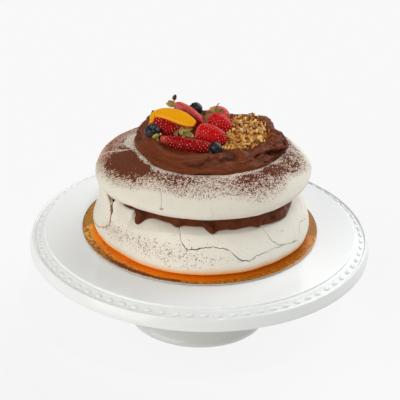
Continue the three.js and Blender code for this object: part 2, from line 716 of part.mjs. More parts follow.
let cream = creamSolid();
let nuts = nutsSolid();
toppings.forEach(({ name, color, shape }, index) => {
  const cutters = toppings.slice(0, index).map((earlier) => earlier.shape(GAP));
  const cut = cutters.reduce((solid, cutter) => solid.subtract(cutter), shape(0));
  addPiece(name, geometryFrom(largestBody(cut)), color, 0.35);
  const room = shape(GAP);
  cream = cream.subtract(room);
  nuts = nuts.subtract(room);
});
cream = cream.subtract(nutsMound(GAP));
addPiece('chocolate_cream', geometryFrom(largestBody(cream)), 0x673726, 0.45);
addPiece('chopped_nuts', geometryFrom(largestBody(nuts)), 0xb77e3f, 0.6);

export default pavlova;
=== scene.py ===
# %% [markdown]
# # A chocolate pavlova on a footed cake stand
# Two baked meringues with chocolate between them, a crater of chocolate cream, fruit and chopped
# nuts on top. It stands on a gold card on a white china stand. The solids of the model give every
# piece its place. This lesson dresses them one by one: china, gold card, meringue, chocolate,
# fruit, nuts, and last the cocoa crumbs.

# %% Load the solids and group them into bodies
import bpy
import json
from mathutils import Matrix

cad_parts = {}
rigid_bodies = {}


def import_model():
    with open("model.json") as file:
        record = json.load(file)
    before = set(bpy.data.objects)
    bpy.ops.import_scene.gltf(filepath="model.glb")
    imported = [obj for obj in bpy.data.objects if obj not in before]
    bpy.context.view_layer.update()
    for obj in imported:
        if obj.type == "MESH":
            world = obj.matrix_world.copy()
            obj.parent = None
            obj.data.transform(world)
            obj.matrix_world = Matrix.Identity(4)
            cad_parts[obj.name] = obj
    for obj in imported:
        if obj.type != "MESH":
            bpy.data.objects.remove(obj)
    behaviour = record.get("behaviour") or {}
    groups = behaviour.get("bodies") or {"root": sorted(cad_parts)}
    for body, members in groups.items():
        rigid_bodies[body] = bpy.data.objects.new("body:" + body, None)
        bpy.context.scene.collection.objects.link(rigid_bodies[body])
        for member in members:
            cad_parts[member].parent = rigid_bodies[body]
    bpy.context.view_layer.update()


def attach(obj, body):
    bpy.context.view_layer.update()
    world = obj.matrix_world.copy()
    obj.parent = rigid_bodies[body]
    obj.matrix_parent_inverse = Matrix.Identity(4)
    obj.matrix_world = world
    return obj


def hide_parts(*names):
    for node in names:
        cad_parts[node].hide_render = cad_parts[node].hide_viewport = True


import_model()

# %% Modules
import itertools
import json
import math
from collections import namedtuple
from functools import cached_property

import bmesh
import bpy
import numpy as np
from mathutils import Matrix, Quaternion, Vector
from mathutils.kdtree import KDTree

# %% [markdown]
# ## Camera, light and floor
# A still camera with a long lens looks down on the cake by about 28 degrees and leans a little.
# The studio is a pale room: an even sky, a wide soft sun from the front left, two more from behind
# at the right, and a small one that puts sparks on wet fruit. Suns light the whole floor alike, so
# it stays one pale tone.

# %% Camera
MM = 0.001
BOARD_TOP = 103.7  # height of the gold card's face, in millimetres, as all sizes below
IMAGE_SIDE, FOCAL_PIXELS, SENSOR = 400, 1366, 36
LOOKS_DOWN, LEANS, DISTANCE = math.radians(28.3), math.radians(1.82), 1.4  # the last in metres
RAISED_PIXELS = 23.7  # how far the cake's middle lies below the picture's


def put(name, data):
    """Adds an object at the origin."""
    thing = bpy.data.objects.new(name, data)
    bpy.context.scene.collection.objects.link(thing)
    return thing


def make_camera():
    camera = put("camera", bpy.data.cameras.new("camera"))
    camera.data.sensor_width, camera.data.lens = SENSOR, FOCAL_PIXELS * SENSOR / IMAGE_SIDE
    back = Vector((0, -math.cos(LOOKS_DOWN), math.sin(LOOKS_DOWN)))
    turn = (-back).to_track_quat("-Z", "Y").to_matrix() @ Matrix.Rotation(LEANS, 3, "Z")
    turn = turn @ Matrix.Rotation(math.atan(RAISED_PIXELS / FOCAL_PIXELS), 3, "X")
    place = Vector((0, 0, BOARD_TOP * MM)) + back * DISTANCE
    camera.matrix_world = Matrix.Translation(place) @ turn.to_4x4()
    bpy.context.scene.camera = camera
    print("lens:", round(camera.data.lens, 1), "mm")


make_camera()

# %% Light and floor
SKY, FLOOR_HALF = 0.3, 8  # the sky's strength, and half of the floor's side in metres
SUNS = [  # azimuth (0 in front, growing to the right), elevation, strength, width, colour
    ("window_left", -52, 26, 1.75, 60, (1, 0.985, 0.94)),
    ("window_right", 128, 34, 1.45, 60, (0.95, 0.98, 1)),
    ("back_right", 150, 32, 0.95, 60, (0.965, 0.985, 1)),
    ("sparkle", 20, 60, 0.45, 3, (1, 1, 1)),
]


def add_sun(name, azimuth, elevation, strength, width, colour):
    sun = bpy.data.lights.new(name, "SUN")
    sun.energy, sun.angle, sun.color = strength, math.radians(width), colour
    a, e = math.radians(azimuth), math.radians(elevation)
    towards = Vector((math.sin(a) * math.cos(e), -math.cos(a) * math.cos(e), math.sin(e)))
    put(name, sun).rotation_euler = towards.to_track_quat("Z", "Y").to_euler()


def make_studio():
    world = bpy.data.worlds.new("pale_room")
    bpy.context.scene.world = world
    world.use_nodes = True
    background = world.node_tree.nodes["Background"].inputs
    background["Color"].default_value = (0.985, 0.99, 1, 1)
    background["Strength"].default_value = SKY
    for sun in SUNS:
        add_sun(*sun)
    bpy.context.scene.view_settings.view_transform = "Standard"
    mesh = bpy.data.meshes.new("floor")
    corners = [(x * FLOOR_HALF, y * FLOOR_HALF, 0) for x, y in ((-1, -1), (1, -1), (1, 1), (-1, 1))]
    mesh.from_pydata(corners, [], [(0, 1, 2, 3)])
    floor = put("floor", mesh)
    return floor


floor = make_studio()
print("lamps:", len(SUNS))

# %% [markdown]
# ## Tools for shapes
# Nearly everything here is round, so most pieces are lofts: rings of points, row by row, from the
# middle of the underside round the outside to the middle of the top. A profile is a smooth line
# through a few knots of radius and height, and the knots change a little round the cake, because
# nothing baked or spread by hand is truly round.

# %% Smooth profiles round the cake
def smooth_step(low, high, value):
    t = np.clip((value - low) / (high - low), 0, 1)
    return t * t * (3 - 2 * t)


def between(rise, full, thin, end, value):
    """1 from full to thin, and smoothly down to 0 at rise and at end."""
    return smooth_step(rise, full, value) * (1 - smooth_step(thin, end, value))


def off_front(azimuth):
    """Degrees from the front, from -180 round the left to 180."""
    return (azimuth + 180) % 360 - 180


def uneven(azimuth, height, seed):
    """Unevenness from about -1 to 1 that changes slowly round the cake."""
    a = np.radians(azimuth)
    waves = ((0.45, 3, 1, 0.03), (0.3, 5, 2.1, -0.06), (0.25, 8, 3.7, 0.11))
    return sum(size * np.sin(turns * a + k * seed + rise * height) for size, turns, k, rise in waves)


def bumps(azimuth, hills):
    """Rounded hills of (azimuth, reach, width), added up."""
    return sum(reach * np.exp(-(off_front(azimuth - at) / width) ** 2) for at, reach, width in hills)


def round_the_cake(*values):
    """A smooth closed line through one value for each equal sector."""
    values = np.array(values, float)

    def value_at(azimuth):
        position = (np.asarray(azimuth) / 360 % 1) * len(values)
        index = np.floor(position).astype(int)
        t = position - index
        a, b, c, d = (values[(index + k) % len(values)] for k in (-1, 0, 1, 2))
        return b + 0.5 * t * (c - a + t * (2 * a - 5 * b + 4 * c - d + t * (3 * (b - c) + d - a)))

    return value_at


def knots_of(azimuth, pairs):
    """Knots [knot, column, (radius, height)] from pairs of numbers or of one number a column."""
    rows = [[np.broadcast_to(value, np.shape(azimuth)) for value in pair] for pair in pairs]
    return np.array(rows, float).transpose(0, 2, 1)


def smooth_profile(knots, rows):
    """Even steps along a centripetal Catmull-Rom line through the knots, for all columns at once."""
    p = np.concatenate([[2 * knots[0] - knots[1]], knots, [2 * knots[-1] - knots[-2]]])
    gap = np.maximum(np.linalg.norm(np.diff(p, axis=0), axis=-1, keepdims=True), 1e-9) ** 0.5
    t = np.linspace(0, 1, 14, endpoint=False)[:, None, None]
    parts = []
    for i in range(1, len(p) - 2):
        a, b, c, d = p[i - 1:i + 3]
        g0, g1, g2 = gap[i - 1:i + 2]
        leave = g1 * ((b - a) / g0 - (c - a) / (g0 + g1) + (c - b) / g1)
        arrive = g1 * ((c - b) / g1 - (d - b) / (g1 + g2) + (d - c) / g2)
        bend, twist = 3 * (c - b) - 2 * leave - arrive, 2 * (b - c) + leave + arrive
        parts.append(b + t * (leave + t * (bend + t * twist)))
    line = np.concatenate([*parts, knots[-1][None]])
    steps = np.linalg.norm(np.diff(line, axis=0), axis=-1)
    along = np.concatenate([np.zeros((1, steps.shape[1])), np.cumsum(steps, axis=0)])
    profile = np.empty((rows, line.shape[1], 2))
    for column, k in itertools.product(range(line.shape[1]), range(2)):
        wanted = np.linspace(0, along[-1, column], rows)
        profile[:, column, k] = np.interp(wanted, along[:, column], line[:, column, k])
    return profile


def around(azimuth, profile, shift=0.0):
    """Points in space for a profile [row, column, (radius, height above the card)]."""
    a = np.radians(azimuth)
    radius, height = profile[..., 0], profile[..., 1]
    return np.stack([radius * np.sin(a) + shift, -radius * np.cos(a), BOARD_TOP + height], -1)


def columns_round(count, front_share=0.0):
    """Azimuths of the columns, closer together at the front if front_share is above 0."""
    turn = np.arange(count) / count
    return 360 * turn - np.degrees(front_share * np.sin(2 * np.pi * turn))


# %% Random relief
def lumps(points, size, seed=0):
    """Smooth random relief from about -1 to 1 with lumps of the given size, in millimetres."""
    place = np.asarray(points, float) / size
    cell = np.floor(place).astype(np.int64)
    near = place - cell
    near = near ** 3 * (near * (near * 6 - 15) + 10)
    total = np.zeros(place.shape[:-1])
    for corner in itertools.product((0, 1), repeat=3):
        x, y, z = (cell[..., k] + corner[k] for k in range(3))
        mixed = (x * 374761393 + y * 668265263 + z * 1440662683 + seed * 1274126177) & 0xFFFFFFFF
        mixed = ((mixed ^ (mixed >> 13)) * 1274126177) & 0xFFFFFFFF
        value = (mixed ^ (mixed >> 16)) / 2 ** 31 - 1
        total += value * np.prod([near[..., k] if corner[k] else 1 - near[..., k] for k in range(3)], axis=0)
    return total


def layered(points, size, seed=0, layers=3):
    """Lumps with finer and lower lumps on them."""
    return sum(lumps(points, size / 2 ** k, seed + 7 * k) / 2 ** k for k in range(layers)) / 1.6


def facing(points):
    """Outward normals of rings [row, column, xyz]."""
    across = np.roll(points, -1, axis=1) - np.roll(points, 1, axis=1)
    normal = np.cross(across, np.gradient(points, axis=0))
    return normal / np.maximum(np.linalg.norm(normal, axis=-1, keepdims=True), 1e-12)


# %% From rings to a mesh
def ring_faces(rows, columns):
    """Faces of a loft that is closed by a fan on its first and its last ring."""
    index = np.arange(rows * columns).reshape(rows, columns)
    beside = np.roll(index, -1, axis=1)
    quads = np.stack([index[:-1], beside[:-1], beside[1:], index[1:]], -1).reshape(-1, 4)
    below = [(rows * columns, b, a) for a, b in zip(index[0].tolist(), beside[0].tolist())]
    above = [(rows * columns + 1, a, b) for a, b in zip(index[-1].tolist(), beside[-1].tolist())]
    return [*quads.tolist(), *below, *above]


def mesh_piece(name, points, faces, materials, attributes={}, face_materials=None):
    """A smooth object at the origin, from points in millimetres."""
    mesh = bpy.data.meshes.new(name)
    mesh.from_pydata((np.asarray(points) * MM).tolist(), [], faces)
    for material in materials:
        mesh.materials.append(material)
    mesh.polygons.foreach_set("use_smooth", [True] * len(mesh.polygons))
    if face_materials is not None:
        mesh.polygons.foreach_set("material_index", np.asarray(face_materials, np.int32))
    for key, values in attributes.items():
        layer = mesh.attributes.new(key, "FLOAT", "POINT")
        layer.data.foreach_set("value", np.asarray(values, np.float32).ravel())
    mesh.update()
    return put(name, mesh)


def loft_piece(name, rings, materials, attributes={}, face_materials=None):
    """A closed loft. An attribute has one value, or one for each point of the rings."""
    points = np.concatenate([rings.reshape(-1, 3), [rings[0].mean(0), rings[-1].mean(0)]])
    closed = {}
    for key, values in attributes.items():
        values = np.broadcast_to(values, rings.shape[:2])
        closed[key] = np.concatenate([values.ravel(), [values[0].mean(), values[-1].mean()]])
    return mesh_piece(name, points, ring_faces(*rings.shape[:2]), materials, closed, face_materials)


def dress(piece, slot, *nodes):
    """Puts a finished piece on the cake: what it rides on and what it stands for. The slot is not used."""
    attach(piece, "root")
    if nodes:
        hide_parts(*nodes)
    print(piece.name, "faces:", len(piece.data.polygons))
    return piece


# %% [markdown]
# ## Tools for finishes
# A finish is a node tree. The tool below adds a node and fills or links its inputs in one call,
# which keeps each tree short. Patterns read object coordinates, which here are places on the cake
# in metres, or numbers stored on the points of a mesh, such as how thick the cocoa lies.

# %% Nodes and materials
class Nodes:
    """Fills a node tree. Most calls add a node and give the socket that comes out of it."""

    def __init__(self, tree):
        self.tree = tree

    def feed(self, socket, value):
        """Links a socket to another one, or fills it with a value."""
        if isinstance(value, bpy.types.NodeSocket):
            self.tree.links.new(value, socket)
        else:
            socket.default_value = (*value, 1) if socket.type == "RGBA" else value

    def node(self, kind, inputs, **settings):
        """Adds a node. An input is given by its name or number."""
        node = self.tree.nodes.new(kind)
        for name, value in settings.items():
            setattr(node, name, value)
        for key, value in inputs.items():
            self.feed(node.inputs[key], value)
        return node

    def out(self, kind, inputs, output=0, **settings):
        return self.node(kind, inputs, **settings).outputs[output]

    def geo(self, kind, inputs, output=0, **settings):
        return self.out("GeometryNode" + kind, inputs, output, **settings)

    def xyz(self, **axes):
        return self.out("ShaderNodeCombineXYZ", axes)

    def maths(self, operation, *values):
        return self.out("ShaderNodeMath", dict(enumerate(values)), operation=operation)

    def plus(self, first, second):
        return self.maths("ADD", first, second)

    def minus(self, first, second):
        return self.maths("SUBTRACT", first, second)

    def times(self, first, second):
        return self.maths("MULTIPLY", first, second)

    def remap(self, value, low, high, to_low=0.0, to_high=1.0):
        return self.out("ShaderNodeMapRange", dict(enumerate((value, low, high, to_low, to_high))))

    def mix(self, factor, first, second):
        """A colour between two colours."""
        return self.out("ShaderNodeMix", {0: factor, 6: first, 7: second}, 2, data_type="RGBA")

    def noise(self, scale, detail, place=None):
        place = place or self.place
        return self.out("ShaderNodeTexNoise", {"Vector": place, "Scale": scale, "Detail": detail})


class Finish(Nodes):
    """A material and its tree. Patterns lie in object coordinates."""

    def __init__(self, name):
        self.material = bpy.data.materials.new(name)
        self.material.use_nodes = True
        super().__init__(self.material.node_tree)

    @cached_property
    def place(self):
        return self.out("ShaderNodeTexCoord", {}, "Object")

    def axis(self, name):
        return self.out("ShaderNodeSeparateXYZ", {0: self.place}, name)

    def stored(self, name):
        """A number that is stored on the mesh's points."""
        return self.out("ShaderNodeAttribute", {}, "Fac", attribute_name=name)

    def over(self, tone, **layers):
        """Lays colours over a tone, each as thickly as the number of its name on the mesh says."""
        for name, colour in layers.items():
            tone = self.mix(self.stored(name), tone, colour)
        return tone

    def ramp(self, factor, *stops):
        node = self.node("ShaderNodeValToRGB", {"Fac": factor})
        marks = node.color_ramp.elements
        marks.remove(marks[1])
        for number, (position, colour) in enumerate(stops):
            mark = marks.new(position) if number else marks[0]
            mark.position, mark.color = position, (*colour, 1)
        return node.outputs["Color"]

    def end(self, height=None, depth=0.0, strength=1.0, **inputs):
        """Fills the surface shader, by its sockets' names with _ for a space, over a bump."""
        if height:
            sizes = {"Height": height, "Distance": depth, "Strength": strength}
            inputs["Normal"] = self.out("ShaderNodeBump", sizes)
        for name, value in inputs.items():
            self.feed(self.tree.nodes["Principled BSDF"].inputs[name.replace("_", " ")], value)
        print("finish:", self.material.name)
        return self.material


# %% A node group that several finishes share
COCOA, COCOA_HAZE = (0.118, 0.029, 0.0115), (0.47, 0.155, 0.068)
COARSE, FINE = 1.4, 0.62  # sizes of the powder's grains, in millimetres


def new_group(kind, name, inputs, outputs):
    """An empty node group with named sockets: its tool, its inputs and its outputs."""
    tree = bpy.data.node_groups.new(name, kind + "NodeTree")
    for way, sockets in (("INPUT", inputs), ("OUTPUT", outputs)):
        for socket, value in sockets.items():
            tree.interface.new_socket(socket, in_out=way, socket_type="NodeSocket" + value)
    ends = tree.nodes.new("NodeGroupInput").outputs, tree.nodes.new("NodeGroupOutput").inputs
    return Nodes(tree), *ends


def make_dusting():
    """Powder sieved over a surface: a haze where it is thin, grains, and a closed coat."""
    n, given, out = new_group("Shader", "dusting", {
        "Place": "Vector", "Surface": "Color", "Powder": "Color", "Thickness": "Float", "Haze": "Float",
    }, {"Color": "Color", "Powdered": "Float"})
    place, thick = given["Place"], given["Thickness"]
    shaken = n.out("ShaderNodeTexNoise", {"Vector": place, "Scale": 1300, "Detail": 1}, "Color")
    shift = n.out("ShaderNodeVectorMath", {0: shaken, "Scale": 0.0009}, operation="SCALE")
    ragged = n.out("ShaderNodeVectorMath", {0: place, 1: shift}, operation="ADD")

    def chance(size):
        """A random number from 0 to 1 for each cell of a pattern of cells."""
        cells = n.out("ShaderNodeTexVoronoi", {"Vector": ragged, "Scale": 1 / (size * MM)}, "Color")
        return n.out("ShaderNodeSeparateColor", {0: cells})

    coarseness = n.remap(thick, 0.25, 0.6, 0.15, 0.62)
    fine = chance(FINE)
    mixed = n.plus(fine, n.times(n.minus(chance(COARSE), fine), coarseness))
    cluster = n.remap(n.noise(230, 3, place), 0.3, 0.7, -0.18, 0.18)
    edge = n.remap(n.plus(thick, n.times(cluster, thick)), 0, 1, 0.02, 0.97)
    covered = n.remap(n.minus(edge, mixed), -0.03, 0.03)
    hazed = n.mix(given["Haze"], given["Surface"], COCOA_HAZE)
    n.feed(out["Color"], n.mix(covered, hazed, given["Powder"]))
    n.feed(out["Powdered"], covered)
    return n.tree


DUSTING = make_dusting()


def dusted(finish, surface):
    """Cocoa over a colour, as thick as the mesh says: the colour, and how far it is covered."""
    inputs = {"Place": finish.place, "Surface": surface, "Powder": COCOA,
              "Thickness": finish.stored("cocoa"), "Haze": finish.stored("haze")}
    return finish.node("ShaderNodeGroup", inputs, node_tree=DUSTING).outputs[:2]


print("group:", DUSTING.name)

# %% [markdown]
# ## Geometry Nodes for what repeats
# Pearls, seeds, nuts and crumbs repeat by the hundred. A small Geometry Nodes tree sets one shape
# on many points, turns and scales each, and makes the copies real. The result is then frozen into
# a plain mesh, so the piece no longer needs its tree.

# %% Freezing a tree into a plain mesh
def grown(name, tree, values, source=None):
    """Runs a Geometry Nodes tree on a mesh and keeps the result as a plain object."""
    start = source or bpy.data.meshes.new(name + "_start")
    carrier = put(name, start)
    modifier = carrier.modifiers.new("grow", "NODES")
    modifier.node_group = tree
    for item in tree.interface.items_tree:
        if item.item_type == "SOCKET" and item.in_out == "INPUT" and item.name in values:
            modifier[item.identifier] = values[item.name]
    graph = bpy.context.evaluated_depsgraph_get()
    frozen = bpy.data.meshes.new_from_object(
        carrier.evaluated_get(graph), preserve_all_data_layers=True, depsgraph=graph,
    )
    carrier.modifiers.clear()
    carrier.data = frozen
    bpy.data.meshes.remove(start)
    frozen.name = name
    return carrier


def new_growth(name, inputs):
    """An empty Geometry Nodes tree with named inputs, a Finish among them."""
    inputs = {"Geometry": "Geometry", **inputs, "Finish": "Material"}
    return new_group("Geometry", name, inputs, {"Geometry": "Geometry"})


def end_growth(g, given, out, copies, smooth=True):
    """Makes the copies real, gives them their finish and ends the tree."""
    real = g.geo("RealizeInstances", {0: copies})
    shaded = g.geo("SetShadeSmooth", {"Geometry": real, "Shade Smooth": smooth})
    finished = g.geo("SetMaterial", {"Geometry": shaded, "Material": given["Finish"]})
    g.feed(out["Geometry"], finished)
    print("tree:", g.tree.name)
    return g.tree


# %% [markdown]
# ## The china stand
# Glazed white china: a flat plate, a fine groove, a channel with a row of oblong pearls, a rolled
# lip and a concave foot. One lathe profile gives it all but the pearls. The glaze is smooth and
# mirrors the room, and very slightly wavy, as fired glaze is. Lower down its colour is darker:
# painted shade under the plate.

# %% China finish
def make_china():
    f = Finish("white_china")
    # The colour darkens lower down: painted shade under the plate.
    high = f.plus(f.remap(f.axis("Z"), 0.06, 0.101), f.remap(f.noise(9, 1), 0, 1, -0.02, 0.02))
    tone = f.ramp(
        high, (0.1, (0.6, 0.605, 0.575)), (0.72, (0.76, 0.77, 0.75)), (0.93, (0.8, 0.81, 0.79)),
        (0.98, (0.86, 0.87, 0.865)),
    )
    return f.end(f.noise(22, 1), 0.0006, 0.35, Base_Color=tone, Roughness=0.12, IOR=1.5)


CHINA = make_china()

# %% Stand
PLATE_TOP, PEARL_BAND = 101.0, 165.0
RIM_FROM, RIM_DEPTH = 155.5, 19  # the rim, whose rows lie close together, is outside and above these
STAND_OUTLINE = [  # radius, and depth below the plate's top
    (40, 0), (90, 0), (130, 0), (150, 0), (156, 0), (157.9, 0.1), (158.5, 0.5), (158.9, 1.7),
    (159.5, 2.2), (160.4, 2.3), (161.6, 3), (163, 4), (166, 5.4), (167.6, 6.1), (168.3, 6.2),
    (168.8, 5.5), (169.6, 5.1), (170.6, 5.5), (171.2, 6.6), (172.3, 9.5), (173.4, 12.8), (173.7, 15),
    (173.4, 16.6), (172, 17.7), (170.4, 17.8), (167, 16.8), (159, 13.4), (140, 10), (112, 8.8),
    (92, 8.9), (78, 11.4), (66, 17.4), (56, 25), (48.6, 37), (45.2, 49), (46.4, 60), (51, 70),
    (57, 79.5), (64, 88.5), (70.4, 95.4), (72.6, 98.4), (72.9, 99.8), (72.2, 100.8), (71, 101),
    (69.4, 101), (68, 100.8), (67, 100), (62, 93), (56, 86.5), (45, 69), (39.4, 54), (36, 40),
    (30, 20), (22, 13.5), (10, 12),
]


def make_stand():
    """A lathe. Rows lie close together at the rim, and elsewhere only each twelfth is kept."""
    top = PLATE_TOP - BOARD_TOP
    azimuth = columns_round(360)
    knots = knots_of(azimuth[:1], [(radius, top - depth) for radius, depth in STAND_OUTLINE[::-1]])
    profile = smooth_profile(knots, 1500)
    profile[..., 1] = np.maximum(profile[..., 1], -BOARD_TOP)
    at_rim = (profile[:, 0, 0] > RIM_FROM) & (profile[:, 0, 1] > top - RIM_DEPTH)
    kept = at_rim | (np.arange(len(profile)) % 12 == 0)
    profile = np.repeat(profile[kept], len(azimuth), axis=1)
    return loft_piece("stand", around(azimuth, profile), [CHINA])


dress(make_stand(), "white_china", "cake_stand")

# %% Pearls in the channel
def pearl_growth():
    """Oblong pearls set round a circle and tilted with the channel."""
    g, given, out = new_growth("pearl_band", {
        "Count": "Int", "Band radius": "Float", "Height": "Float", "Tilt": "Float", "Pearl size": "Vector",
    })
    pearl = g.geo("MeshUVSphere", {"Segments": 24, "Rings": 14, "Radius": 1.0})
    pearl = g.geo("Transform", {"Geometry": pearl, "Scale": given["Pearl size"]})
    pearl = g.geo("Transform", {"Geometry": pearl, "Rotation": g.xyz(X=given["Tilt"])})
    circle = g.geo("MeshCircle", {"Vertices": given["Count"], "Radius": given["Band radius"]})
    turn = g.times(g.maths("DIVIDE", g.geo("InputIndex", {}), given["Count"]), 2 * math.pi)
    spin = g.out("FunctionNodeEulerToRotation", {0: g.xyz(Z=g.minus(turn, math.pi / 2))})
    copies = g.geo("InstanceOnPoints", {"Points": circle, "Instance": pearl, "Rotation": spin})
    lifted = g.geo("Transform", {"Geometry": copies, "Translation": g.xyz(Z=given["Height"])})
    return end_growth(g, given, out, lifted)


dress(grown("stand_pearls", pearl_growth(), {
    "Count": 78, "Band radius": (PEARL_BAND - 0.6) * MM, "Height": (PLATE_TOP - 4.9) * MM,
    "Tilt": math.radians(-25), "Pearl size": (4.1 * MM, 2.4 * MM, 1.7 * MM), "Finish": CHINA,
}), "white_china")

# %% [markdown]
# ## The gold card
# A cake board is thick grey card with gold foil pressed on it and folded over the edge. Foil is a
# metal, so its colour sits in its reflections. Here light and shade are painted into its colour:
# pale gold at the sides, darker to the right as painted shade, and deep orange at the front, a
# painted reflection of the cake and its shade, with a faint painted glow. The rim there is
# rubbed, and cocoa has fallen on it.

# %% Foil and card
def make_foil():
    f = Finish("gold_foil")
    front, across = f.stored("front"), f.axis("X")
    creased = f.remap(f.noise(120, 3), 0.35, 0.65)
    # The sides' gold and the rubbed rim's gold darken towards the right: painted shade.
    plain = f.mix(f.remap(across, -0.1, 0.1), (0.47, 0.2, 0.009), (0.24, 0.087, 0.007))
    rightwards = f.remap(across, -0.1, 0.08)
    bright = f.mix(rightwards, (0.85, 0.43, 0.03), (0.42, 0.18, 0.012))
    flaked = f.mix(f.remap(f.noise(330, 3), 0.45, 0.6), (0.26, 0.08, 0.004), bright)
    # The deep orange at the front, lighter at the left, is a painted reflection of the cake and painted
    # shade.
    inner = f.mix(rightwards, (0.95, 0.36, 0.002), (0.43, 0.135, 0.002))
    gold = f.mix(front, plain, f.mix(f.stored("outer"), inner, flaked))
    colour, powdered = dusted(f, gold)
    bare, powder_relief = f.minus(1.0, powdered), f.times(powdered, 0.5)
    return f.end(
        f.plus(creased, powder_relief), 0.0003, 0.16, Base_Color=colour,
        # The front is less metallic, so that the painted orange shows.
        Metallic=f.times(bare, f.remap(front, 0, 1, 0.9, 0.6)),
        Roughness=f.plus(f.remap(creased, 0, 1, 0.22, 0.34), powder_relief), Emission_Strength=1.0,
        # A faint orange glow at the front: painted reflected light.
        Emission_Color=f.mix(f.times(f.times(front, bare), 0.06), (0, 0, 0), (1, 0.25, 0)),
    )


def make_card():
    f = Finish("card_edge")
    fibre = f.noise(900, 3)
    tone = f.mix(fibre, (0.42, 0.4, 0.36), (0.55, 0.53, 0.48))
    return f.end(fibre, 0.0001, 0.5, Base_Color=tone, Roughness=0.7)


FOIL, CARD = make_foil(), make_card()

# %% Card
CARD_OUTLINE = [  # radius and height
    (30, -2.4), (80, -2.4), (118.5, -2.4), (119.7, -2.2), (119.95, -1.9), (119.95, -1.5),
    (119.95, -0.5), (119.8, -0.2), (119.2, 0), (118.4, 0),
    *((radius, 0) for radius in range(118, 100, -1)), (90, 0), (70, 0), (40, 0), (15, 0),
]
CARD_ROWS = 6  # rows of faces below and at the edge that show bare card


def make_board():
    azimuth = columns_round(300)
    profile = np.repeat(np.array(CARD_OUTLINE, float)[:, None], len(azimuth), axis=1)
    rings = around(azimuth, profile)
    radius, off = profile[..., 0], off_front(azimuth)
    # The front zone carries the foil's painted orange reflection, shade and glow, and a little cocoa.
    front = between(-87, -84.5, 79, 83, off)
    rim = np.exp(-((radius - 116.2 - 1.2 * smooth_step(-60, -20, off)) / 2.1) ** 2)
    drift = 0.22 * between(-72, -60, -40, -20, off)
    cocoa = 0.95 * rim * between(-56, -37, -16, 6, off) + drift + 0.05 * front
    cocoa = cocoa * (profile[..., 1] > -1) * (radius > 104)
    fold = 112.6 + 3.4 * np.exp(-((off + 2) / 26) ** 2) + 0.8 * lumps(rings, 9, 71)
    edge = np.zeros(len(ring_faces(*rings.shape[:2])), int)
    edge[:len(azimuth) * CARD_ROWS] = 1
    values = {"front": front, "cocoa": cocoa, "haze": 0.3 * cocoa, "outer": smooth_step(-1, 1, radius - fold)}
    return loft_piece("cake_card", rings, [FOIL, CARD], values, edge)


dress(make_board(), "gold_card", "cake_board")

# %% [markdown]
# ## The meringues
# A pavlova's meringue bakes to a dry, matt shell, ivory and faintly rough like eggshell. As it
# cools it shrinks and the shell cracks into plates, with thin brown lines between them. The loft
# follows the solid's profile, and each crack is a line on it: points near the line sink into a
# groove and remember how near they are, so the finish can darken it. At the left the shell has
# split wide open to the caramel-coloured inside.

# %% Lines on a round side
DEGREE = 1.85  # millimetres along the side for each degree round it
# A crack or fold: half widths along it, its path of azimuth and height, how deep it is, how much
# one side stands above the other, how dark it is, how toasted, which on a cream fold is painted
# shade in its groove, and how far it wanders.
Line = namedtuple("Line", "width path depth step dark toast wander", defaults=(0.3, 0, 1, 0, 0.5))
HAIR = [(0, 0.2), (0.5, 0.28), (1, 0.15)]  # a fine crack's half widths


def shaped(knots_at, rows, columns, front_share, shift):
    """Azimuths, profile, rings and normals of a loft through knots."""
    azimuth = columns_round(columns, front_share)
    profile = smooth_profile(knots_at(azimuth), rows)
    rings = around(azimuth, profile, shift)
    return azimuth, profile, rings, facing(rings)


def on_side(knots_at, shift, azimuth, height):
    """Points on a meringue's outer side at pairs of azimuth and height."""
    profile = smooth_profile(knots_at(azimuth), 240)
    radius = np.empty(len(azimuth))
    for i in range(len(azimuth)):
        top = profile[:, i, 1].argmax() + 1
        radius[i] = np.interp(height[i], profile[:top, i, 1], profile[:top, i, 0])
    return around(azimuth, np.stack([radius, height], -1)[None], shift)[0]


def line_points(line, knots_at, shift, seed):
    """Closely spaced points along a line, which wanders a little between its knots."""
    path = np.array(line.path, float)
    lengths = np.hypot(np.diff(path[:, 0]) * DEGREE, np.diff(path[:, 1]))
    along = np.concatenate([[0], np.cumsum(lengths)])
    steps = np.arange(0, along[-1], 0.25)
    spot = np.stack([steps, 0 * steps, 0 * steps], -1)

    def astray(number):
        return lumps(spot, 3.1, seed + number) + 0.5 * lumps(spot, 1.2, seed + number + 1)

    azimuth, height = (np.interp(steps, along, path[:, k]) for k in range(2))
    azimuth, height = azimuth + line.wander / DEGREE * astray(0), height + line.wander * astray(2)
    width = np.interp(steps / along[-1], *zip(*line.width)) * (1 + 0.5 * lumps(spot, 3.5, seed + 5))
    width[[0, -1]] = -1.0  # no line beyond its ends
    return on_side(knots_at, shift, azimuth, height), width


def nearest(points, rings):
    """For each point of the rings, the number of the nearest of some points, and how far it is."""
    tree = KDTree(len(points))
    for i, point in enumerate(points):
        tree.insert(point, i)
    tree.balance()
    found = [tree.find(point)[1:] for point in rings.reshape(-1, 3)]
    return [np.array(part).reshape(rings.shape[:2]) for part in zip(*found)]


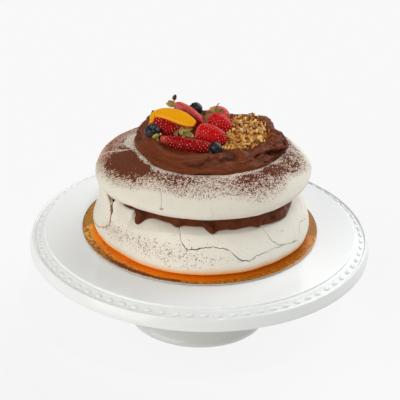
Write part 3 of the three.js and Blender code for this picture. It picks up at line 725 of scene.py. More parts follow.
def carve(rings, normals, lines, knots_at, shift):
    """Sinks lines into the rings. Also gives what the finish needs to draw each one finely.

    The distance to a line has a sign, plus on one side and minus on the other, so that it runs
    through nought between two points of the mesh and the line can be thinner than a face."""
    drawn = [line_points(line, knots_at, shift, 31 * i) for i, line in enumerate(lines)]
    points, widths = (np.concatenate(part) for part in zip(*drawn))
    ways = np.concatenate([np.gradient(part, axis=0) for part, _ in drawn])
    of_line = np.repeat(np.arange(len(lines)), [len(part) for part, _ in drawn])
    index, away = nearest(points, rings)

    def of_each(key):
        return np.array([getattr(line, key) for line in lines])[of_line[index]]

    width = widths[index]
    side = np.where((np.cross(ways[index], rings - points[index]) * normals).sum(-1) > 0, 1, -1)
    groove = 1 / (1 + (away / np.maximum(width, 0.5)) ** 4) * (width > 0)
    step = of_each("step") * side * np.exp(-away / 5) * np.minimum(away, 1)
    toast = of_each("toast") * np.exp(-(away / (1.3 * np.maximum(width, 0.3))) ** 4)
    return rings + normals * (step - of_each("depth") * groove)[..., None], {
        "side": np.clip(side * away, -4, 4), "away": np.minimum(away, 4), "width": width,
        "dark": of_each("dark"), "toast": toast,
    }


# %% Meringue finish
def make_meringue():
    f = Finish("meringue_shell")
    tone = f.mix(f.noise(28, 3), (0.68, 0.635, 0.535), (0.73, 0.685, 0.585))
    # Paler over the lower meringue's front and right: painted light.
    tone = f.over(tone, fair=(0.84, 0.805, 0.705))
    tone = f.mix(f.times(f.remap(f.noise(620, 2), 0.62, 0.72), 0.12), tone, (0.55, 0.45, 0.32))
    # An orange tint low down is painted bounce light from the gold card; the toasted colour is the caramel
    # inside of split shell.
    tone = f.over(tone, base_tint=(1.0, 0.57, 0.22), toast=(0.52, 0.235, 0.085))
    wobble = f.remap(f.noise(900, 2), 0.3, 0.7, -0.16, 0.16)
    from_line = f.maths("ABSOLUTE", f.plus(f.stored("side"), wobble))
    in_line = f.remap(f.minus(f.stored("width"), from_line), -0.08, 0.1)
    in_line = f.times(in_line, f.remap(f.stored("away"), 1.6, 2.2, 1, 0))
    cracked = f.mix(f.times(in_line, f.stored("dark")), tone, (0.075, 0.035, 0.022))
    colour, powdered = dusted(f, cracked)
    relief = f.plus(f.times(f.noise(1500, 3), 0.5), f.noise(260, 3))
    relief = f.minus(f.plus(relief, f.times(powdered, 0.8)), f.times(in_line, 1.5))
    return f.end(
        relief, 0.0004, 0.45, Base_Color=colour, Roughness=f.remap(powdered, 0, 1, 0.62, 0.95),
        # A faint orange glow low down: painted bounce light from the gold card.
        Emission_Color=f.over((0, 0, 0), base_tint=(0.12, 0.045, 0.0)),
        Emission_Strength=1.0, Specular_IOR_Level=0.25,
    )


MERINGUE = make_meringue()

# %% [markdown]
# ## The lower meringue
# It is the one that shows its cracks best. A long crack runs across the front, steps down to the
# right and climbs again, with branches. Cocoa has drifted on to its front, in a faint band. Beside
# the split at the left a wall of shell stands up, and a pointed plate leans over the filling.

# %% Lower meringue
LOWER_SHIFT = 1.7  # how far the whole meringue sits to the right
SHELL_PULL = 0.35  # how far a shell lies inside its solid, to leave room for its relief


def lower_knots(azimuth):
    r = 110.6 + 1.6 * uneven(azimuth, 0, 1.3)
    high = 42 + 0.6 * uneven(azimuth, 40, 4.1)
    off = off_front(azimuth)
    wall = between(-114, -98, -60.9, -59.8, off)
    plate = np.interp(off, [-60.9, -59.8, -47, -45.2], [0, 1, 1, 0])
    inset = np.interp(off, [-59, -57, -55.2, -53.5, -50, -47], [6.4, 7.4, 9.4, 11.6, 14.8, 17.2])
    tip = np.interp(off, [-59, -57, -55.2, -53.5, -52, -50.3, -47], [50.5, 54.5, 55, 50, 47.7, 46.3, 45.5])
    shoulder = [
        (r - 4, 22.5), (r - 10, 30), (r - 18, 37), (r - 26, high - 1), (r - 31, high - 0.2), (r - 35, high),
    ]
    standing = [(r - 3.6, 22.8), (r - 6, 31.5), (r - 6.5, 42), (r - 5.2, 52), (r - 4.8, 59), (r - 8, 61.5)]
    pointed = [
        (r - 3.8, 22.6), (r - 2.1 - 0.45 * inset, 31.5), (r - 0.8 - 0.8 * inset, 15.7 + 0.5 * tip),
        (r - inset, tip - 2), (r - inset - 2, tip), (r - inset - 10, tip - 1),
    ]
    side = [
        tuple(base + wall * (tall - base) + plate * (thorn - base) for base, tall, thorn in zip(*trio))
        for trio in zip(shoulder, standing, pointed)
    ]
    return knots_of(azimuth, [(r - 9, 0.3), (r - 6, 0.8), (r - 2, 3.4), (r, 9.5), (r - 1.2, 15.5), *side])


LOWER_CRACKS = [
    Line([(0, 1.7), (0.3, 1.2), (0.6, 0.7), (1, 0.5)], [
        (-60.5, 57), (-60.5, 50), (-60.1, 43), (-60.4, 37), (-60.2, 31), (-60.2, 24), (-62.2, 20),
        (-66, 16.5),
    ], depth=1.4, dark=0, toast=1),
    Line([(0, 2.2), (0.3, 1.4), (0.6, 0.9), (1, 0.3)], [
        (-59.2, 56), (-59.2, 48), (-58.9, 40), (-59.2, 34), (-59.1, 28), (-60, 22),
    ], depth=0.8, wander=0.3),
    Line([(0, 0.4), (1, 0.25)], [
        (-66, 16.5), (-67.8, 14.8), (-73, 12), (-80, 11),
    ], 0.4, dark=0.55, toast=0.7),
    Line([
        (0, 0.3), (0.2, 0.35), (0.25, 0.5), (0.33, 0.3), (0.45, 0.3), (0.52, 0.2), (0.57, 0.5),
        (0.64, 0.32), (0.68, 0.48), (0.73, 0.3), (0.8, 0.18), (1, 0.12),
    ], [
        (-14.5, 41), (-13.6, 39.4), (-10.9, 32.8), (-7.5, 26.8), (-2.2, 28.1), (3.2, 29.5), (9.2, 29),
        (15.1, 26.8), (17.4, 22.6), (21.3, 16.4), (25.6, 14.1), (29.3, 17.4), (34.3, 18), (41.1, 19.3),
        (47.5, 17.5),
    ], depth=0.5, step=0.35),
    Line(HAIR, [(-7.5, 26.8), (-6.8, 20.6), (-6.8, 14.3), (-5.7, 10.5)], dark=0.4),
    Line(HAIR, [
        (39.4, 37), (40.8, 28), (43.7, 21.2), (50, 17.8), (56.6, 15.1), (59, 15),
    ], step=0.25, dark=0.75),
    Line([(0, 0.2), (0.5, 0.7), (1, 0.2)], [(55, 15.6), (57.5, 15), (60, 14.8)], dark=0.9),
    Line(HAIR, [(77.6, 22.4), (70.3, 25.3), (65.6, 24.1), (62.1, 18)], dark=0.6),
    Line(HAIR, [(92, 33), (88, 30), (83, 28.5)], dark=0.5),
    Line(HAIR, [(50, 29.5), (52.5, 28.6)], dark=0.6),
    Line(HAIR, [(128, 38), (134, 27), (141, 24), (149, 16), (158, 13)], 0.5, 0.4, 0.8),
    Line(HAIR, [(-118, 38), (-125, 30), (-136, 27), (-141, 18), (-152, 15)], 0.5, 0.3, 0.7),
    Line(HAIR, [(178, 31), (184, 25), (196, 26), (203, 18)], 0.4, dark=0.6),
]
LOWER_COCOA = [  # azimuth, width, height, spread, how thick
    (-55, 10, 21.5, 7, 0.19), (-38, 15, 23, 9, 0.13), (-20, 15, 21.5, 10, 0.13), (-4, 14, 20, 10, 0.09),
    (11, 12, 20, 8, 0.07),
]


def plain_relief(rings, seed):
    """Faint swelling and dents of a baked shell, in millimetres."""
    return sum(high * lumps(rings, size, seed + k) for k, (high, size) in enumerate(
        ((0.55, 26), (0.22, 9), (0.06, 2.6))
    ))


def make_lower_meringue():
    azimuth, profile, rings, normals = shaped(lower_knots, 112, 860, 0.3, LOWER_SHIFT)
    carved, lines = carve(rings, normals, LOWER_CRACKS, lower_knots, LOWER_SHIFT)
    height, off = profile[..., 1], off_front(azimuth)
    carved += normals * (plain_relief(rings, 3) * smooth_step(0.2, 4, height) - SHELL_PULL)[..., None]
    cocoa = sum(
        thick * np.exp(-((off - middle) / width) ** 2 - ((height - at) / spread) ** 2)
        for middle, width, at, spread, thick in LOWER_COCOA
    ) * (np.arange(len(profile))[:, None] < height.argmax(0) - 8)
    # The orange low down is painted bounce light from the gold card, strongest at the front.
    base_tint = (1 - smooth_step(1, 12, height)) * (0.45 + 0.55 * np.exp(-(off / 60) ** 2))
    return loft_piece("meringue_below", carved, [MERINGUE], {
        **lines, "cocoa": cocoa, "haze": 0.7 * cocoa, "base_tint": base_tint,
        # The front and right are made paler: painted light.
        "fair": 0.18 + 0.82 * between(-60, -10, 40, 85, off),
    })


dress(make_lower_meringue(), "meringue", "meringue_lower")

# %% [markdown]
# ## The chocolate between
# A thick chocolate filling was spread on the lower meringue and pressed out by the upper one, so
# it hangs over the shoulder in lobes and drips. It is darker and glossier than the whipped cream.

# %% Chocolate finishes
def make_chocolate(name, dark, light, roughness):
    f = Finish(name)
    tone = f.mix(f.noise(70, 4), dark, light)
    air = f.times(f.remap(f.noise(700, 2), 0.66, 0.74), 0.8)
    return f.end(
        f.minus(f.noise(240, 4), air), 0.0004, 0.6, Specular_IOR_Level=0.07,
        # Hollows and fold grooves are darkened: painted shade.
        Base_Color=f.over(tone, crease=(0.05, 0.011, 0.004)),
        Roughness=f.remap(f.noise(120, 3), 0.35, 0.65, roughness - 0.08, roughness + 0.1),
    )


FILLING = make_chocolate("chocolate_filling", (0.092, 0.0205, 0.005), (0.148, 0.0345, 0.009), 0.3)
CREAM = make_chocolate("chocolate_cream", (0.122, 0.0265, 0.0075), (0.172, 0.041, 0.013), 0.46)

# %% Filling
UPPER_BASE = 57.5  # height of the upper meringue's underside
FILLING_SHIFT, FILLING_BED = 1.9, 43.2
FILLING_EDGE = [  # azimuth and radius of the lower edge, with its lobes and drips
    (-92, 89), (-84, 90), (-73, 91.5), (-66, 95), (-62, 99.5), (-60, 101), (-57, 100), (-54.5, 98.3),
    (-52, 95.5), (-50, 92), (-48.3, 88.5), (-47.6, 89.6), (-46.6, 90), (-46.1, 88.9), (-45.3, 92),
    (-44.3, 91.6), (-43.4, 94.2), (-41.6, 95.2), (-40.1, 94.2), (-39.2, 91), (-38.2, 88.2), (-36.4, 86.2),
    (-33.5, 85), (-30.6, 83.6), (-26, 84.4), (-21.6, 84.8), (-17.5, 88), (-15.3, 88.6), (-13.3, 86.6),
    (-11.6, 84.5), (-6.6, 84.9), (0.2, 84.8), (2.1, 87.6), (4.5, 91.8), (6.6, 93.6), (8.4, 91.6),
    (10.4, 89.6), (15.5, 89.3), (19.6, 90.3), (24.6, 90), (31.7, 90), (34.6, 92), (36.6, 93.5),
    (38.4, 91.7), (45.2, 93.4), (53, 95), (59.1, 95.5), (67, 93.4), (74, 92), (90, 89), (105, 88.5),
    (111, 90), (116, 93), (119, 90), (135, 87), (150, 89), (157, 92.5), (162, 89), (175, 88), (190, 86.5),
    (205, 88), (215, 91), (220, 93.5), (224, 89), (235, 88), (255, 89.5),
]


def filling_edge(azimuth, reach, count):
    """Radius of the filling's lower edge round the cake, a mean over degrees to both sides."""
    spots = azimuth[:, None] + np.linspace(-reach, reach, count)
    return np.interp(spots, *zip(*FILLING_EDGE), period=360).mean(1)


def lower_shoulder(azimuth, radius):
    """Height of the lower meringue's shoulder at a radius."""
    knots = lower_knots(azimuth)[:4:-1]
    return np.array([np.interp(r, *knots[:, i].T) for i, r in enumerate(radius)])


def filling_knots(azimuth):
    r, body = filling_edge(azimuth, 0.7, 5), filling_edge(azimuth, 7, 15)
    rest = lower_shoulder(azimuth, r - 1) + 0.8
    inner = np.maximum(FILLING_BED - 0.1, lower_shoulder(azimuth, r - 9) + 1)
    return knots_of(azimuth, [
        (70, FILLING_BED), (r - 9, inner), (r - 1.2, rest), (r, rest + 1.6),
        (0.75 * r + 0.25 * body, 0.72 * rest + 0.28 * UPPER_BASE + 1),
        (body + 0.3, 0.5 * (rest + UPPER_BASE) + 1), (body - 1, UPPER_BASE - 2.5),
        (body - 3.5, UPPER_BASE - 0.7), (body - 9, UPPER_BASE - 0.3),
    ])


def make_filling():
    azimuth, profile, rings, normals = shaped(filling_knots, 72, 620, 0.25, FILLING_SHIFT)
    radius, height = profile[..., 0], profile[..., 1]
    slanted = rings + rings[..., 2:] * (0.5, 0, 0)
    relief = 1.5 * layered(slanted, 8, 11, 2) + 1.1 * layered(slanted * (1, 1, 0.5), 4.5, 15)
    relief = relief + 0.25 * lumps(rings, 1.5, 17)
    relief = relief * (smooth_step(74, 82, radius) * smooth_step(0, 3, height - 41))
    rough_drip = np.exp(-((off_front(azimuth) + 45.5) / 5) ** 2)
    knobs = 2.2 * lumps(rings, 3.4, 18) * rough_drip * smooth_step(80, 86, radius)
    rings = rings + normals * (relief + knobs)[..., None]
    # Hollows of the relief are darkened: painted shade.
    crease = np.clip(-0.5 * relief - 0.4 * knobs, 0, 0.8)
    return loft_piece("chocolate_between", rings, [FILLING], {"crease": crease})


dress(make_filling(), "chocolate_ganache", "chocolate_filling")

# %% [markdown]
# ## The upper meringue
# It bulges over the filling and carries the crater. Cocoa was sieved over it: thick at the left
# and the right, speckled across the front, and thin at the back. A pale ring by the crater stayed
# clean. How thick it lies is worked out for every point and stored on the mesh.

# %% Upper meringue
UPPER_SHIFT = 2.2
CRATER_FLOOR = 86.0
cream_reach = round_the_cake(78, 76, 78.5, 82.5, 75.5, 66.5, 70, 70, 72.5, 70.5, 71.5, 79)
rim_height = round_the_cake(92.8, 92.6, 90.8, 88.5, 89, 89.5, 88, 87, 87, 90.5, 93.6, 93.2)


def crater_wall(radius, height, raised):
    deep = height - CRATER_FLOOR
    return [
        (radius - 4, height - 0.25 * deep + raised), (radius - 14, CRATER_FLOOR + 0.2 * deep + raised),
        (0.55 * radius, CRATER_FLOOR + raised),
    ]


def upper_knots(azimuth):
    rim, high = cream_reach(azimuth) - 1.5, rim_height(azimuth)
    r = 108 + 1.4 * uneven(azimuth, 0, 5.2)
    swell = 0.9 * uneven(azimuth, 30, 0.7) + bumps(azimuth, [(-128, -3.6, 42)])
    off = off_front(azimuth)
    sag = 4.5 * between(-130, -110, -57, -39, off)  # it hangs lower at the left
    sag = sag - 2.4 * between(28, 55, 90, 115, off)
    return knots_of(azimuth, [
        (r - 11, UPPER_BASE - sag), (r - 4.5, UPPER_BASE + 1.4 - sag), (r - 0.6, UPPER_BASE + 5 - 0.8 * sag),
        (r, UPPER_BASE + 9 - 0.4 * sag), (r - 2.8, 71.5), (r - 8, 76.7 + swell), (r - 15.5, 82.2 + swell),
        (0.5 * (r - 12.5 + rim), 0.5 * (82.2 + high) + 1 + swell), (rim + 3, high - 0.9), (rim, high),
        *crater_wall(rim, high, 0),
    ])


UPPER_CRACKS = [
    Line(HAIR, [(-25.2, 80.7), (-22.5, 75), (-21.3, 68.2)], dark=0.5, wander=0.2),
    Line([(0, 0.4), (0.5, 0.7), (1, 0.4)], [(-22.2, 68.3), (-20.3, 67.2)], dark=0.6, toast=0.8),
    Line([(0, 0.3), (0.4, 0.5), (1, 0.3)], [
        (56, 83), (61, 84), (70.4, 79.2), (81.8, 79.1), (85, 81),
    ], 0.6, 0.5, 0.9),
    Line(HAIR, [(12, 82), (18, 80.8), (24, 81), (30, 82)], step=0.3, dark=0.7),
    Line(HAIR, [(4, 72), (5.5, 68), (4.5, 63)], dark=0.2),
    Line(HAIR, [(84, 76), (88, 71), (92, 68)], dark=0.35),
    Line(HAIR, [(150, 82), (158, 77), (170, 76), (177, 70)], 0.5, 0.4, 0.6),
    Line(HAIR, [(-150, 80), (-160, 76), (-168, 70)], 0.5, 0.4, 0.6),
]
# A raised fold at the left, where the shell was lifted and set again. Cocoa is thinned along
# its ridge, so that it shows as a pale line: a painted highlight.
FOLD = Line([(0, 0.9), (1, 0.9)], [(-93, 72), (-89.5, 79), (-84, 84.5), (-77, 89.5), (-74, 92)])
FOLD_REACH, FOLD_HEIGHT, FOLD_SEED = 0.95, 0.7, 500
BACK_HAZE = -112  # azimuth of a smooth brown film behind the fold

# Every 15 degrees round the cake: how thick the cocoa lies, and the radii where it starts, where
# it begins to thin out and where it ends.
COCOA_THICK = round_the_cake(
    0.42, 0.46, 0.74, 0.78, 0.8, 0.66, 0.45, 0.45, 0.5, 0.5, 0.5, 0.5,
    0.5, 0.5, 0.5, 0.5, 0.5, 0.5, 0.58, 1.15, 1.15, 1.08, 0.6, 0.62,
)
COCOA_INNER = round_the_cake(
    77.5, 79, 78.7, 78.3, 78, 80, 81.5, 84, 80, 75, 73, 71,
    71.5, 72, 73, 73, 76, 82, 80, 74, 75, 77.3, 80.3, 79.3,
)
COCOA_THINS = round_the_cake(
    88, 89, 84, 84, 88, 93, 97, 86, 94, 92, 92, 92, 92, 92, 93, 95, 99, 102, 94, 93, 92, 85.5, 85.5, 86,
)
COCOA_OUTER = round_the_cake(
    100, 100, 108, 107, 99, 104, 107, 96, 106, 106, 106, 106,
    106, 106, 106, 106, 106, 110, 114, 109.5, 107.5, 105, 99.5, 98.5,
)


def cocoa_thickness(azimuth, radius):
    """How thick the cocoa lies on the upper meringue, 0 bare to 1 closed."""
    thins, end = COCOA_THINS(azimuth), COCOA_OUTER(azimuth)
    rise = 0.3 + 0.7 * smooth_step(-1.8, 1.8, radius - COCOA_INNER(azimuth))
    return COCOA_THICK(azimuth) * rise * np.clip((end - radius) / (end - thins), 0, 1)


def make_upper_meringue():
    azimuth, profile, rings, normals = shaped(upper_knots, 122, 800, 0.25, UPPER_SHIFT)
    carved, lines = carve(rings, normals, UPPER_CRACKS, upper_knots, UPPER_SHIFT)
    fold, _ = line_points(FOLD, upper_knots, UPPER_SHIFT, FOLD_SEED)
    ridge = np.exp(-(nearest(fold, carved)[1] / FOLD_REACH) ** 2)
    carved += normals * (FOLD_HEIGHT * ridge)[..., None]
    carved += normals * (plain_relief(rings, 23) - SHELL_PULL)[..., None]
    radius, height = profile[..., 0], profile[..., 1]
    outside = np.arange(len(profile))[:, None] < height.argmax(0)
    # Cocoa and the brown film are thinned along the fold's ridge: a painted highlight.
    cocoa = cocoa_thickness(azimuth, radius) * outside * (1 - 0.85 * ridge)
    patchy = 1 + 0.16 * lumps(rings, 9, 41) + 0.16 * lumps(rings, 4, 42)
    cocoa = cocoa * np.where(cocoa < 0.9, patchy, 1)
    carved += normals * (0.16 * layered(rings, 1.7, 40) * np.clip(cocoa, 0, 1))[..., None]
    behind = np.exp(-((off_front(azimuth - BACK_HAZE) / 34) ** 4))
    film = (0.1 + 0.46 * smooth_step(84, 96, radius)) * behind
    film = film * outside * (1 - smooth_step(101, 112, radius)) * (1 - 0.8 * ridge)
    haze = np.clip(0.55 * cocoa + film * (1 + 0.3 * lumps(rings, 7, 44)), 0, 0.75)
    return loft_piece("meringue_above", carved, [MERINGUE], {
        **lines, "cocoa": cocoa, "haze": haze, "base_tint": 0, "fair": 0,
    })


upper = dress(make_upper_meringue(), "meringue", "meringue_upper")

# %% [markdown]
# ## The whipped chocolate cream
# A spatula pushed the cream round the crater, so its wall has long, nearly level folds that rise
# to the right, over a lip that rolls inwards. The folds come from relief that is stretched along
# the wall. At the right it was pulled off roughly, which left torn clods and pits. The folds,
# pits and hollows are darkened with painted shade.

# %% Cream
CREAM_LIP, CREAM_NEST = 103.5, 100.0
CLODS = [  # azimuth, reach and width of torn lumps and hollows
    (86, 4.5, 11), (73, 1.8, 8), (118, 3, 7), (104, -2.5, 5), (66, -2, 6), (-122, 2.5, 9), (-106, 2, 6),
    (-88, -2, 13),
]
SOFT = [(0, 0.2), (0.5, 0.5), (1, 0.2)]  # half widths along a fold
# The folds' toasted values here darken their grooves: painted shade.
CREAM_FOLDS = [
    Line([(0, 0.7), (0.5, 1.4), (1, 0.7)], [
        (-15, 101.2), (-10.5, 100.1), (-7.5, 99.5), (-3.5, 100.2), (0, 101.6),
    ], 1.1, 0.8, toast=0.4),
    Line([(0, 0.7), (0.4, 1.3), (1, 0.7)], [
        (2, 102.8), (8, 102.3), (18, 101.7), (24, 101.9), (31, 103),
    ], 0.8, 0.8, toast=0.3),
    Line(SOFT, [(46, 100.6), (49, 101.4), (52, 101.4), (54, 100.8)], 1.8, 0.6, toast=0.5),
    Line(SOFT, [(32, 95.5), (34.5, 97.5), (37, 99.5)], -0.7),
    Line([(0, 0.5), (0.5, 2), (1, 1)], [(50, 95.4), (58, 94.4), (67, 92.8), (76, 92)], 4, toast=0.7),
    Line([(0, 0.8), (0.5, 1.6), (1, 0.8)], [
        (58, 101), (64, 98.6), (71, 96.8), (77, 95.6), (83, 95),
    ], 3, 2.2, toast=0.9),
    Line([(0, 1.5), (1, 1.5)], [(78.5, 99.9), (81.5, 99.2)], 3.4, toast=0.7),
    Line(SOFT, [(-62, 96), (-46, 98), (-33, 99.6), (-24, 100), (-17, 98.5)], 0.6, 0.8),
    Line(SOFT, [(-46, 96.2), (-33, 97), (-24, 96.3), (-17, 94.3)], 0.5, 0.8),
    Line(SOFT, [(-52, 100.4), (-45, 100.6), (-36, 101.8)], 0.9, 0.5),
    Line(SOFT, [(-68, 93.8), (-55, 95), (-42, 94.5), (-32, 93.6)], 0.6, 0.5),
    Line(SOFT, [(24, 98.4), (32, 98), (41, 98.8), (49, 98.2)], 0.7, 0.5),
    Line(SOFT, [(-12, 96.5), (0, 95.8), (12, 96.9), (24, 96.6), (34, 97.4)], 0.6, 0.6),
    Line(SOFT, [(-112, 94), (-98, 97), (-86, 97.5)], 1.6, 0.8),
    Line([(0, 1.2), (1, 1.2)], [(-110, 98.5), (-107, 98)], 2.4, toast=0.7),
    Line(SOFT, [(104, 96), (116, 98), (130, 98.5), (142, 100)], 1.5, 0.8),
    Line(SOFT, [(150, 93), (172, 96), (196, 97), (214, 95)], 1.2, 0.8),
    Line(SOFT, [(206, 97.5), (222, 99), (236, 98)], 1.2, 0.8),
]


def cream_knots(azimuth):
    reach = cream_reach(azimuth)
    rim, high = reach - 1.5, rim_height(azimuth)
    clod = bumps(azimuth, CLODS)
    lip = CREAM_LIP + 0.9 * uneven(azimuth, 0, 7.7) + 0.35 * clod
    lip = lip + bumps(azimuth, [(172, -2.5, 24), (118, 2.6, 16)])
    inward = bumps(azimuth, [(16, 14, 26)])  # at the front the lip leans in over the fruit

    def wall(inset, height):
        swirl = 0.9 * uneven(azimuth + 2.2 * height, 4 * height, 3.3)
        return reach - inset + clod * smooth_step(0.5, 5, height - high) + swirl, height

    return knots_of(azimuth, [
        *crater_wall(rim, high, 0.8)[::-1], (rim + 0.5, high + 0.3), wall(1.2, high + 3.2),
        wall(4, 0.6 * high + 0.4 * lip), wall(8.5 + 0.5 * inward, lip - 1.8), wall(13.5 + inward, lip),
        wall(19 + inward, lip - 1.2),
        (reach - 27 - 0.9 * inward, CREAM_NEST + 0.5 * uneven(azimuth, 0, 9.1)), (0.3 * reach, CREAM_NEST),
    ])


def cream_relief(off, rings, height):
    """Spatula folds along the wall, and torn lumps at the right, in millimetres."""
    along = np.radians(off) * 75 + 0 * height
    slant = height - 0.07 * along + 2.2 * lumps(rings, 18, 61)
    flow = np.stack([along / 8, 0 * along, slant], -1)
    folds = 1 - 2.4 * np.abs(lumps(flow, 4.2, 62))
    streaks = 1 - 2.4 * np.abs(lumps(flow * (0.8, 1, 1), 1.6, 63))
    torn = np.exp(-((off - 86) / 24) ** 2)
    rough = 2.1 * layered(rings, 8, 64) - 1.6 * smooth_step(0.3, 0.8, lumps(rings, 5, 66))
    calm = 0.8 * folds + 0.62 * streaks + 0.8 * layered(rings, 16, 65)
    return calm * (1 - 0.5 * torn) + rough * torn + 0.14 * lumps(rings, 1.6, 67)


def make_cream():
    azimuth, profile, rings, normals = shaped(cream_knots, 140, 680, 0.15, UPPER_SHIFT)
    shown = np.arange(len(profile))[:, None] / len(profile)
    amount = smooth_step(0.22, 0.34, shown) * (1 - 0.4 * smooth_step(0.75, 0.95, shown))
    relief = cream_relief(off_front(azimuth), rings, profile[..., 1])
    carved, folds = carve(rings, normals, CREAM_FOLDS, cream_knots, UPPER_SHIFT)
    # Hollows of the relief and the carved folds and pits are darkened: painted shade.
    crease = np.clip(np.clip(-0.45 * relief - 0.1, 0, 0.8) * amount + folds["toast"], 0, 0.9)
    rings = carved + normals * (relief * amount)[..., None]
    return loft_piece("whipped_cream", rings, [CREAM], {"crease": crease})


dress(make_cream(), "chocolate_cream", "chocolate_cream")

# %% [markdown]
# ## Strawberries
# A strawberry is a cone with a rounded shoulder, set with small seeds in dimples that wind round
# it in a spiral. The skin is deep red and wet-looking, and paler near the cap. The spiral gives
# the seeds' places, the skin sinks near each, and a Geometry Nodes tree sets a seed in every one.

# %% Where berries lie
def above(x, y, height):
    return np.array([x, y, BOARD_TOP + height], float)


# A berry's darkening is painted shade on the front and left berries, which lie in shade. The paler skin given
# to the back and halved berries is a painted sheen.
STRAWBERRIES = {
    "strawberry_big": dict(cap=(-4.5, -13, 109), tip=(23, -26.5, 106.3), radius=10.9, blunt=0.85),
    "strawberry_front": dict(
        cap=(-40.5, -24.5, 105.8), tip=(10.5, -39.5, 105), radius=7, bow=(0, -2.2, -0.8), blunt=0.5, slim=0.5,
        deep=0.65,
    ),
    "strawberry_right": dict(cap=(8.5, 16, 110), tip=(26.5, -2.6, 106.8), radius=10, blunt=0.9),
    "strawberry_back": dict(cap=(13.5, 24, 111), tip=(17, 43, 93), radius=12.6, paleness=0.2),
    "strawberry_half": dict(
        cap=(-30.5, 32.3, 113.5), tip=(2, 7, 103), radius=11, cut=(-0.55, -0.76, -0.3), paleness=0.15,
    ),
    "strawberry_left": dict(cap=(-52, 9, 105.6), tip=(-23.5, -4, 104), radius=10.6, blunt=0.8, deep=0.5),
}
BERRY_SHAPE = [  # radius and place along, both up to 1
    (0.0, 0.035), (0.3, 0.012), (0.55, 0.0), (0.76, 0.035), (0.9, 0.11), (1.0, 0.25), (1.0, 0.42),
    (0.93, 0.6), (0.78, 0.77), (0.55, 0.89), (0.28, 0.97), (0.1, 0.995), (0.0, 1.0),
]


def turn_to(direction):
    """The rotation from the Z axis to a direction, as a 3 x 3 array."""
    return np.array(Vector((0, 0, 1)).rotation_difference(Vector(direction)).to_matrix())


print("strawberries:", len(STRAWBERRIES))


# %% Berry skin, flesh and seeds
def make_berry_skin():
    f = Finish("strawberry_skin")
    tone = f.mix(f.noise(90, 3), (0.42, 0.0015, 0.003), (0.58, 0.003, 0.006))
    # Darker seed dimples and darker whole berries are painted shade. The pale layer is the paler skin near
    # the cap, and a painted sheen on some berries.
    tone = f.over(tone, pit=(0.16, 0.0, 0.003), deep=(0.16, 0.001, 0.002), pale=(0.68, 0.13, 0.09))
    return f.end(
        f.noise(900, 2), 0.00015, 0.5, Base_Color=tone,
        Roughness=f.remap(f.noise(400, 2), 0.35, 0.65, 0.12, 0.2), Specular_IOR_Level=0.07,
    )


def make_berry_flesh():
    """The cut face: a pale side, a red heart line, a second pale line, and red under the skin."""
    f = Finish("strawberry_flesh")
    across, along = f.stored("across"), f.stored("along")
    rays = f.noise(1.0, 3, f.xyz(X=f.times(across, 2.2), Y=f.times(along, 26)))
    pale, blush, red = (0.76, 0.2, 0.14), (0.74, 0.16, 0.11), (0.6, 0.012, 0.01)
    section = f.ramp(
        f.plus(across, f.remap(rays, 0.3, 0.7, -0.08, 0.08)), (0.04, pale), (0.14, blush), (0.22, red),
        (0.5, (0.5, 0.006, 0.006)), (0.75, red), (0.86, blush), (0.96, pale),
    )
    tone = f.mix(f.remap(along, 0.2, 0.34, 0.9, 0), section, (0.8, 0.22, 0.22))
    return f.end(rays, 0.0003, 0.5, Base_Color=tone, Roughness=0.3, Specular_IOR_Level=0.15)


def make_seed_finish():
    f = Finish("berry_seed")
    tone = f.mix(f.noise(300, 1), (0.7, 0.25, 0.15), (0.86, 0.52, 0.36))
    return f.end(Base_Color=tone, Roughness=0.3, Specular_IOR_Level=0.3)


BERRY_SKIN, BERRY_FLESH, SEED = make_berry_skin(), make_berry_flesh(), make_seed_finish()

# %% Berry bodies with dimples
BERRY_ROWS, SKIN_COLUMNS, CUT_COLUMNS = 84, 100, 50  # the last two make up a halved berry's ring
SEED_SPACING, PIT_REACH, PIT_DEPTH = 3.1, 0.85, 0.5
GOLDEN_ANGLE = math.pi * (3 - math.sqrt(5))


def berry_profile(rows, blunt, slim):
    """Radius and place along a berry. Blunt below 1 fills its ends, slim thins its neck."""
    radius, along = smooth_profile(knots_of(np.zeros(1), BERRY_SHAPE), rows)[:, 0].T
    neck = 1 - slim * np.clip(1 - 1.8 * along, 0, 1) ** 2
    return np.stack([np.clip(radius, 0, None) ** blunt * neck, along], -1)


def seed_spots(length, radius, blunt, slim, seed):
    """Places of the seeds on a berry along +Z, wound in a spiral at an even spacing."""
    profile = berry_profile(400, blunt, slim) * (radius, length)
    steps = np.linalg.norm(np.diff(profile, axis=0), axis=1)
    area = np.concatenate([[0], np.cumsum(steps * 2 * np.pi * (profile[1:, 0] + profile[:-1, 0]) / 2)])
    count = int(area[-1] / SEED_SPACING ** 2)
    wanted = (np.arange(count) + 0.5) / count * area[-1]
    slope = np.gradient(profile, axis=0)
    r, z, rise_r, rise_z = (np.interp(wanted, area, values) for values in (*profile.T, *slope.T))
    random = np.random.default_rng(seed)
    turn = np.arange(count) * GOLDEN_ANGLE + random.normal(size=count) * 0.28 / np.maximum(r, 2)
    keep = (z > 0.07 * length) | (r > 0.8 * radius)
    spots = np.stack([r * np.cos(turn), r * np.sin(turn), z], -1)
    outward = np.stack([rise_z * np.cos(turn), rise_z * np.sin(turn), -rise_r], -1)
    outward /= np.linalg.norm(outward, axis=1, keepdims=True)
    return spots[keep], outward[keep]


